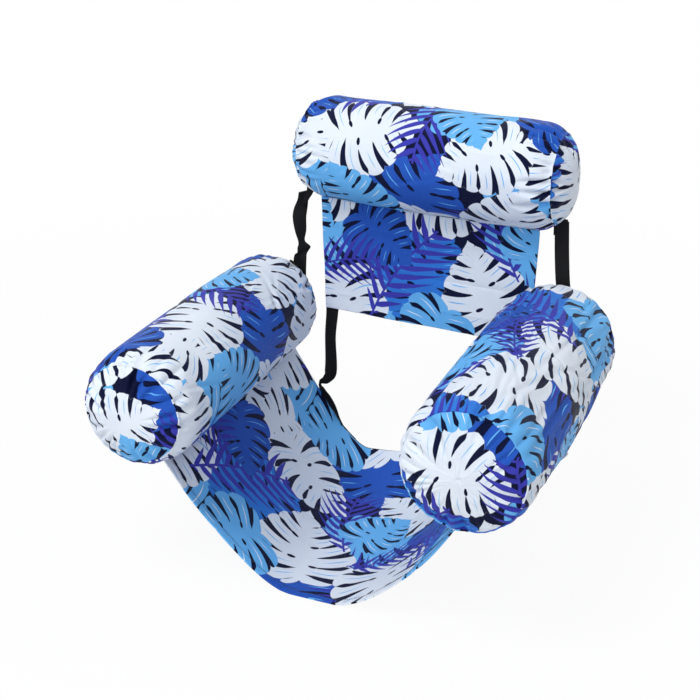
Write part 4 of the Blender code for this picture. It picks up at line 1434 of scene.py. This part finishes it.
@dataclass
class Straps:
    """The four webbing straps, their tabs and the folds at the sling's rear edge.

    A strap is a spline through key rows: its place (3), the direction over its width (3) and its
    width. The keys follow the photograph; the left upper strap hangs slack, with a twist.
    """

    sling: SeatSling
    rolls: dict
    width: float = 0.025
    thickness: float = 0.0014
    feet: tuple = (-0.237, 0.259)
    foot_y: float = 0.2034
    foot_heights: tuple = (0.384, 0.386)
    laps: tuple = (0.032, 0.012)
    tab: float = 0.030
    ray_y: float = 0.30
    clearance: float = 0.003

    def strap(self, name: str, keys: Sequence[Sequence[float]], kit: Wardrobe,
              count: int = 72) -> bpy.types.Object:
        """Flat strap through its key rows.

        Args:
            name: the piece's name.
            keys: the key rows.
            kit: the finishes.
            count: rows wanted along the strap.

        Returns:
            The strap.
        """
        rows = spline(keys, count)
        path, across = rows[:, :3], unit(rows[:, 3:6])
        wide = rows[:, 6:] * np.linspace(-0.5, 0.5, 7)
        points = path[:, None] + across[:, None] * wide[..., None]
        cloth = np.stack(np.broadcast_arrays(wide, run_lengths(path)[:, None]), 2)
        return dress(thicken(sheet_mesh(name, points, cloth), self.thickness), kit.webbing)

    def keys(self, rows: Sequence[tuple]) -> Array:
        """Key rows from place, rearward and upward slope of the width, and share of the width."""
        table = np.array(rows)
        return np.column_stack((table[:, :3], np.ones(len(table)), table[:, 3:5],
                                table[:, 5] * self.width))

    def make_upper(self, side: int, side_name: str, kit: Wardrobe) -> bpy.types.Object:
        """Upper strap, from the armrest's tab, which it overlaps, to the headrest.

        Where the cover lies behind a key row, the row moves out to 3 mm above the cover.
        """
        foot = (self.feet[side], self.foot_y, self.foot_heights[side] - self.laps[side], 0, 0, 1)
        if side:
            rows = self.keys([
                foot, (0.2583, 0.2052, 0.390, 0, 0, 1), (0.2540, 0.211, 0.418, 0.02, 0, 1),
                (0.2465, 0.224, 0.462, 0.05, 0, 1), (0.2405, 0.2355, 0.512, 0, 0, 1)])
        else:
            rows = self.keys([
                foot, (-0.2368, 0.2042, 0.3720, 0, 0, 1), (-0.2366, 0.2052, 0.3870, 0.2, 0, 0.95),
                (-0.2355, 0.2075, 0.3940, 0.6, 0, 0.85), (-0.2325, 0.2110, 0.3990, 1.3, 0.2, 1),
                (-0.2325, 0.2130, 0.4060, 1.1, 0, 1), (-0.2385, 0.2165, 0.4150, 1.6, 0, 0.55),
                (-0.2425, 0.2220, 0.4320, 1.0, 0, 0.85), (-0.2475, 0.2280, 0.4560, 0.4, 0, 1),
                (-0.2465, 0.2325, 0.4740, 0.3, 0.1, 1), (-0.2435, 0.2350, 0.4900, 0.6, 0.2, 0.8),
                (-0.2440, 0.2355, 0.5040, 1.0, 0.2, 0.6)])
        starts = rows[:, :3] * (1, 0, 1) + (0, self.ray_y, 0)
        reach = self.rolls[side_name].reach_to(starts, (0.0, -1.0, 0.0))
        clear = np.maximum(rows[:, 1], self.ray_y + self.clearance - reach)
        rows[:, 1] = np.where(reach > 0.0, clear, rows[:, 1])
        strap = self.strap(side_name + "_upper_webbing", rows, kit)
        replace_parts(strap, side_name + "_upper_strap")
        return strap

    def make_lower(self, side: float, side_name: str, kit: Wardrobe) -> bpy.types.Object:
        """Lower strap, from the panel's corner down to the fold at the sling."""
        keys = self.keys([(side * 0.1785, 0.2034, 0.1590, 0, 0.45 * side, 0.8),
                          (side * 0.1765, 0.2045, 0.1680, 0, 0.12 * side, 0.95),
                          (side * 0.1770, 0.2080, 0.1900, 0.15 * side, 0, 1),
                          (side * 0.1830, 0.2190, 0.2350, 0.28 * side, 0, 1),
                          (side * 0.1850, 0.2315, 0.2720, 0.15 * side, 0, 1),
                          (side * 0.1852, 0.2345, 0.2900, 0, 0, 1)])
        strap = self.strap(side_name + "_lower_webbing", keys, kit)
        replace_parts(strap, side_name + "_lower_strap")
        return strap

    def make_fold(self, side: float, side_name: str, kit: Wardrobe) -> bpy.types.Object:
        """Webbing that turns over below the lower strap and runs down the sling's rear edge."""
        shares = np.array((0.38, 0.45, 0.52, 0.59, 0.65, 0.70))
        edge, normal = self.sling.edge(side * shares, self.sling.rear, 0.0)
        face = np.clip((shares - 0.38) / 0.22, 0.0, 1.0)[:, None]
        across = unit(normal * face + np.array((0.0, -1.0, 0.0)) * (1.0 - face))
        edge = edge - normal * 0.0013 * (1.0 - face)
        widths = self.width * np.array((0.12, 0.28, 0.42, 0.55, 0.62, 0.5))
        middle = edge + (0.0, 0.0015, 0.0) + across * (widths * 0.5 * face[:, 0])[:, None]
        keys = [(*p, *a, w) for p, a, w in zip(middle, across, widths)]
        keys += [(side * 0.1915, 0.1900, 0.1500, side * -0.30, 0.1, -0.9, 0.32 * self.width),
                 (side * 0.1850, 0.1975, 0.1515, side * -0.70, 0.0, -0.7, 0.6 * self.width),
                 (side * 0.1785, 0.2034, 0.1590, side * -1.0, 0.0, -0.45, 0.8 * self.width)]
        strap = self.strap(side_name + "_edge_webbing", keys, kit, 90)
        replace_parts(strap, side_name + "_strap_fold")
        return strap

    def make_arm_tab(self, side: int, side_name: str, kit: Wardrobe) -> list:
        """Tab on the armrest's rear cap, with its box of stitches.

        It lies on the crowns of the gathers: the nearest reach to the cover, smoothed both ways.
        """
        top = self.foot_heights[side] + self.clearance
        z = np.linspace(top - self.tab, top, 25)
        shares = np.linspace(-0.5, 0.5, 21)
        z_grid, x_grid = np.meshgrid(z, self.feet[side] + shares * self.width, indexing="ij")
        start = np.stack((x_grid, np.full_like(x_grid, self.ray_y), z_grid), -1)
        reach = self.rolls[side_name].reach_to(start, (0.0, -1.0, 0.0))
        for axis in (0, 1):
            reach = windows(windows(reach, axis).min(-1), axis).mean(-1)
        points = np.stack((x_grid, self.ray_y - reach + 0.001, z_grid), -1)
        cloth = np.stack(np.broadcast_arrays(shares[None, :] * self.width, z[:, None]), 2)
        tab = dress(thicken(sheet_mesh(side_name + "_arm_tab", points, cloth), self.thickness),
                    kit.webbing)
        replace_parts(tab, side_name + "_armrest_strap_tab")
        corner = np.array([(-1, -1), (1, -1), (1, 1), (-1, 1), (-1, -1), (1, 1), (-1, 1), (1, -1)])
        spots = np.linspace(0.0, len(corner) - 1, 240)
        box = np.stack([np.interp(spots, np.arange(len(corner)), corner[:, k]) for k in (0, 1)], 1)
        cells = np.stack((11 + box[:, 1] * 8, 10 + box[:, 0] * 8), 1)
        low = np.floor(cells).astype(int)
        part = (cells - low)[..., None]
        near = points[low[:, 0], low[:, 1]]
        down = near * (1 - part[:, 0]) + points[low[:, 0] + 1, low[:, 1]] * part[:, 0]
        over = points[low[:, 0], low[:, 1] + 1] - near
        line = down + over * part[:, 1] + (0.0, self.thickness / 2, 0.0)
        lift = np.tile((0.0, 1.0, 0.0), (len(line), 1))
        return [tab, stitches(side_name + "_arm_tab_stitches", line, lift, kit.thread, 0.0026,
                              0.0003)]

    def make_head_tab(self, side: int, side_name: str, kit: Wardrobe) -> bpy.types.Object:
        """Loop that comes down from the headrest's end seam in front of the strap."""
        if side:
            keys = self.keys([(0.2405, 0.2325, 0.486, 0, 0, 1), (0.2400, 0.2330, 0.500, 0, 0, 1),
                              (0.2385, 0.2340, 0.516, 0, 0, 1)])
        else:
            keys = self.keys([
                (-0.2400, 0.2300, 0.480, 0.3, 0, 0.35), (-0.2345, 0.2310, 0.492, 0.2, 0, 0.4),
                (-0.2290, 0.2335, 0.504, 0, 0, 0.5), (-0.2270, 0.2350, 0.514, 0, 0, 0.6)])
        tab = self.strap(f"headrest_{side_name}_loop", keys, kit, 30)
        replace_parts(tab, f"headrest_{side_name}_strap_tab")
        return tab

    def build(self, kit: Wardrobe) -> None:
        """Make all the straps; the lower straps ride on no body, and the others each ride on their
        own.
        """
        for side, side_name in enumerate(("left", "right")):
            sign = 2.0 * side - 1.0
            lower, swing = self.make_lower(sign, side_name, kit), side_name + "_lower_strap"
            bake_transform(lower)
            rides = [(self.make_upper(side, side_name, kit), side_name + "_upper_strap"),
                     (self.make_fold(sign, side_name, kit), "seat"),
                     (self.make_head_tab(side, side_name, kit), "headrest")]
            rides += [(piece, side_name + "_armrest")
                      for piece in self.make_arm_tab(side, side_name, kit)]
            for piece, body in rides:
                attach(piece, body)
        LOG.info("straps, tabs and folds")


@dataclass
class Studio:
    """Pale floor, soft lights and the camera at the photograph's angle."""

    eye: tuple = (0.8252, -2.056, 1.3068)
    azimuth: float = math.radians(23.06)
    elevation: float = math.radians(23.87)
    lens: float = 74.57
    lamps: tuple = (("Key", (-1.0, -2.2, 4.0), 1.6, 107.0), ("Fill", (0.7, -3.7, 2.3), 2.4, 42.0),
                    ("Back", (0.4, 1.9, 1.8), 1.4, 8.0))
    ambient: float = 0.61
    floor_reach: float = 14.0
    floor_height: float = -0.0004

    def aim(self, name: str, data: bpy.types.ID, place: tuple,
            direction: Vector) -> bpy.types.Object:
        """Camera or lamp at a place, looking along a direction."""
        item = link(name, data)
        item.location = place
        item.rotation_euler = direction.to_track_quat("-Z", "Y").to_euler()
        return item

    def make_camera(self) -> None:
        """Camera that looks along the fitted azimuth and elevation."""
        camera = bpy.data.cameras.new("Camera")
        camera.lens, camera.sensor_width = self.lens, 36.0
        forward = -Vector((math.sin(self.azimuth) * math.cos(self.elevation),
                           -math.cos(self.azimuth) * math.cos(self.elevation),
                           math.sin(self.elevation)))
        bpy.context.scene.camera = self.aim("Camera", camera, self.eye, forward)

    def make_lamp(self, name: str, place: tuple, size: float, power: float) -> None:
        """Square soft light that faces the chair."""
        light = bpy.data.lights.new(name, "AREA")
        light.size, light.energy = size, power
        self.aim(name, light, place, Vector((0.0, 0.0, 0.3)) - Vector(place))

    def show(self, bench: Bench, output: str, share: object, lit: bpy.types.Node,
             seen: bpy.types.Node) -> None:
        """Mix a shader that lights and one that is seen, by the share of pale rays."""
        pale = self.pale_rays(bench) * share
        mixed = bench.add("MixShader", None, {0: pale, 1: lit.outputs[0], 2: seen.outputs[0]})
        bench.feed(bench.add(output).inputs["Surface"], mixed.outputs[0])

    def pale_rays(self, bench: Bench) -> Signal:
        """One for rays that should meet the pale backdrop: camera, mirror and clear ones."""
        rays = bench.add("LightPath").outputs
        seen = Signal(bench, rays["Is Camera Ray"])
        return seen.larger(rays["Is Glossy Ray"]).larger(rays["Is Transmission Ray"])

    def make_floor(self) -> None:
        """Floor that is white to the camera, keeps a faint shadow and fades out to plain white."""
        mesh = bpy.data.meshes.new("floor")
        corners = np.array([(-1, -1), (1, -1), (1, 1), (-1, 1)]) * self.floor_reach
        mesh.from_pydata(np.column_stack((corners, np.full(4, self.floor_height))), [],
                         [(0, 1, 2, 3)])
        floor = link("floor", mesh)
        material = bpy.data.materials.new("Floor")
        material.use_nodes = True
        bench = Bench(material.node_tree)
        matt = bench.add("BsdfDiffuse", None, {"Color": (0.78, 0.78, 0.79, 1.0)})
        white = bench.add("Emission", None, {"Color": WHITE, "Strength": 1.0})
        x, y = bench.split(bench.place())
        away = (x * x + y * y).root().rise(0.9, 2.2)
        self.show(bench, "OutputMaterial", 0.93 + 0.07 * away, matt, white)
        mesh.materials.append(material)

    def make_world(self) -> None:
        """Even sky: white where it is seen, softer where it lights."""
        world = bpy.data.worlds.new("World")
        bpy.context.scene.world = world
        world.use_nodes = True
        bench = Bench(world.node_tree)
        soft = bench.add("Background", None,
                         {"Color": (0.975, 0.985, 1.0, 1.0), "Strength": self.ambient})
        seen = bench.add("Background", None, {"Color": WHITE, "Strength": 1.0})
        self.show(bench, "OutputWorld", 1.0, soft, seen)

    def build(self) -> None:
        """Set up the stage."""
        self.make_camera()
        self.make_floor()
        self.make_world()
        for lamp in self.lamps:
            self.make_lamp(*lamp)
        bpy.context.scene.view_settings.view_transform = "Standard"
        LOG.info("floor, lights and camera")


def left_roll() -> InflatedRoll:
    """The left armrest roll, a little slimmer and turned out, as it is blown up."""
    return InflatedRoll("left_armrest", (-0.2748, -0.0765, 0.3097), (-0.010, 1.0, 0.002),
                        (-1.0, 0.0, 0.0), 0.526, 0.0965, ("front", "rear"), 11, (0.02, 0.17),
                        ((0.15, 0.38), (0.33, 0.22)), 0.0025)


def right_roll() -> InflatedRoll:
    """The right armrest roll, blown up a little harder."""
    return InflatedRoll("right_armrest", (0.2590, -0.0620, 0.3130), (-0.011, 1.0, 0.003),
                        (1.0, 0.0, 0.0), 0.517, 0.1125, ("front", "rear"), 21, (0.19, 0.02),
                        ((0.395, 0.345), (0.10, 0.02)))


def head_roll() -> InflatedRoll:
    """The headrest roll, which sits a little askew."""
    return InflatedRoll("headrest", (0.0018, 0.2535, 0.5842), (1.0, -0.010, -0.021),
                        (0.0, 1.0, 0.0), 0.462, 0.093, ("left", "right"), 31, (0.05, 0.12),
                        ((0.18, 0.33), (0.03, 0.20)))


def main() -> None:
    """Build the chair's looks, piece by piece."""
    logging.basicConfig(level=logging.INFO, format="%(name)s: %(message)s")
    kit = Wardrobe()
    LOG.info("finishes")
    Studio().build()
    rolls = {"left": left_roll(), "right": right_roll(), "head": head_roll()}
    for roll in rolls.values():
        roll.build(kit)
    sling = SeatSling(rolls)
    sling.build(kit)
    BackPanel(rolls["head"]).build(kit)
    Straps(sling, rolls).build(kit)


if __name__ == "__main__":
    main()
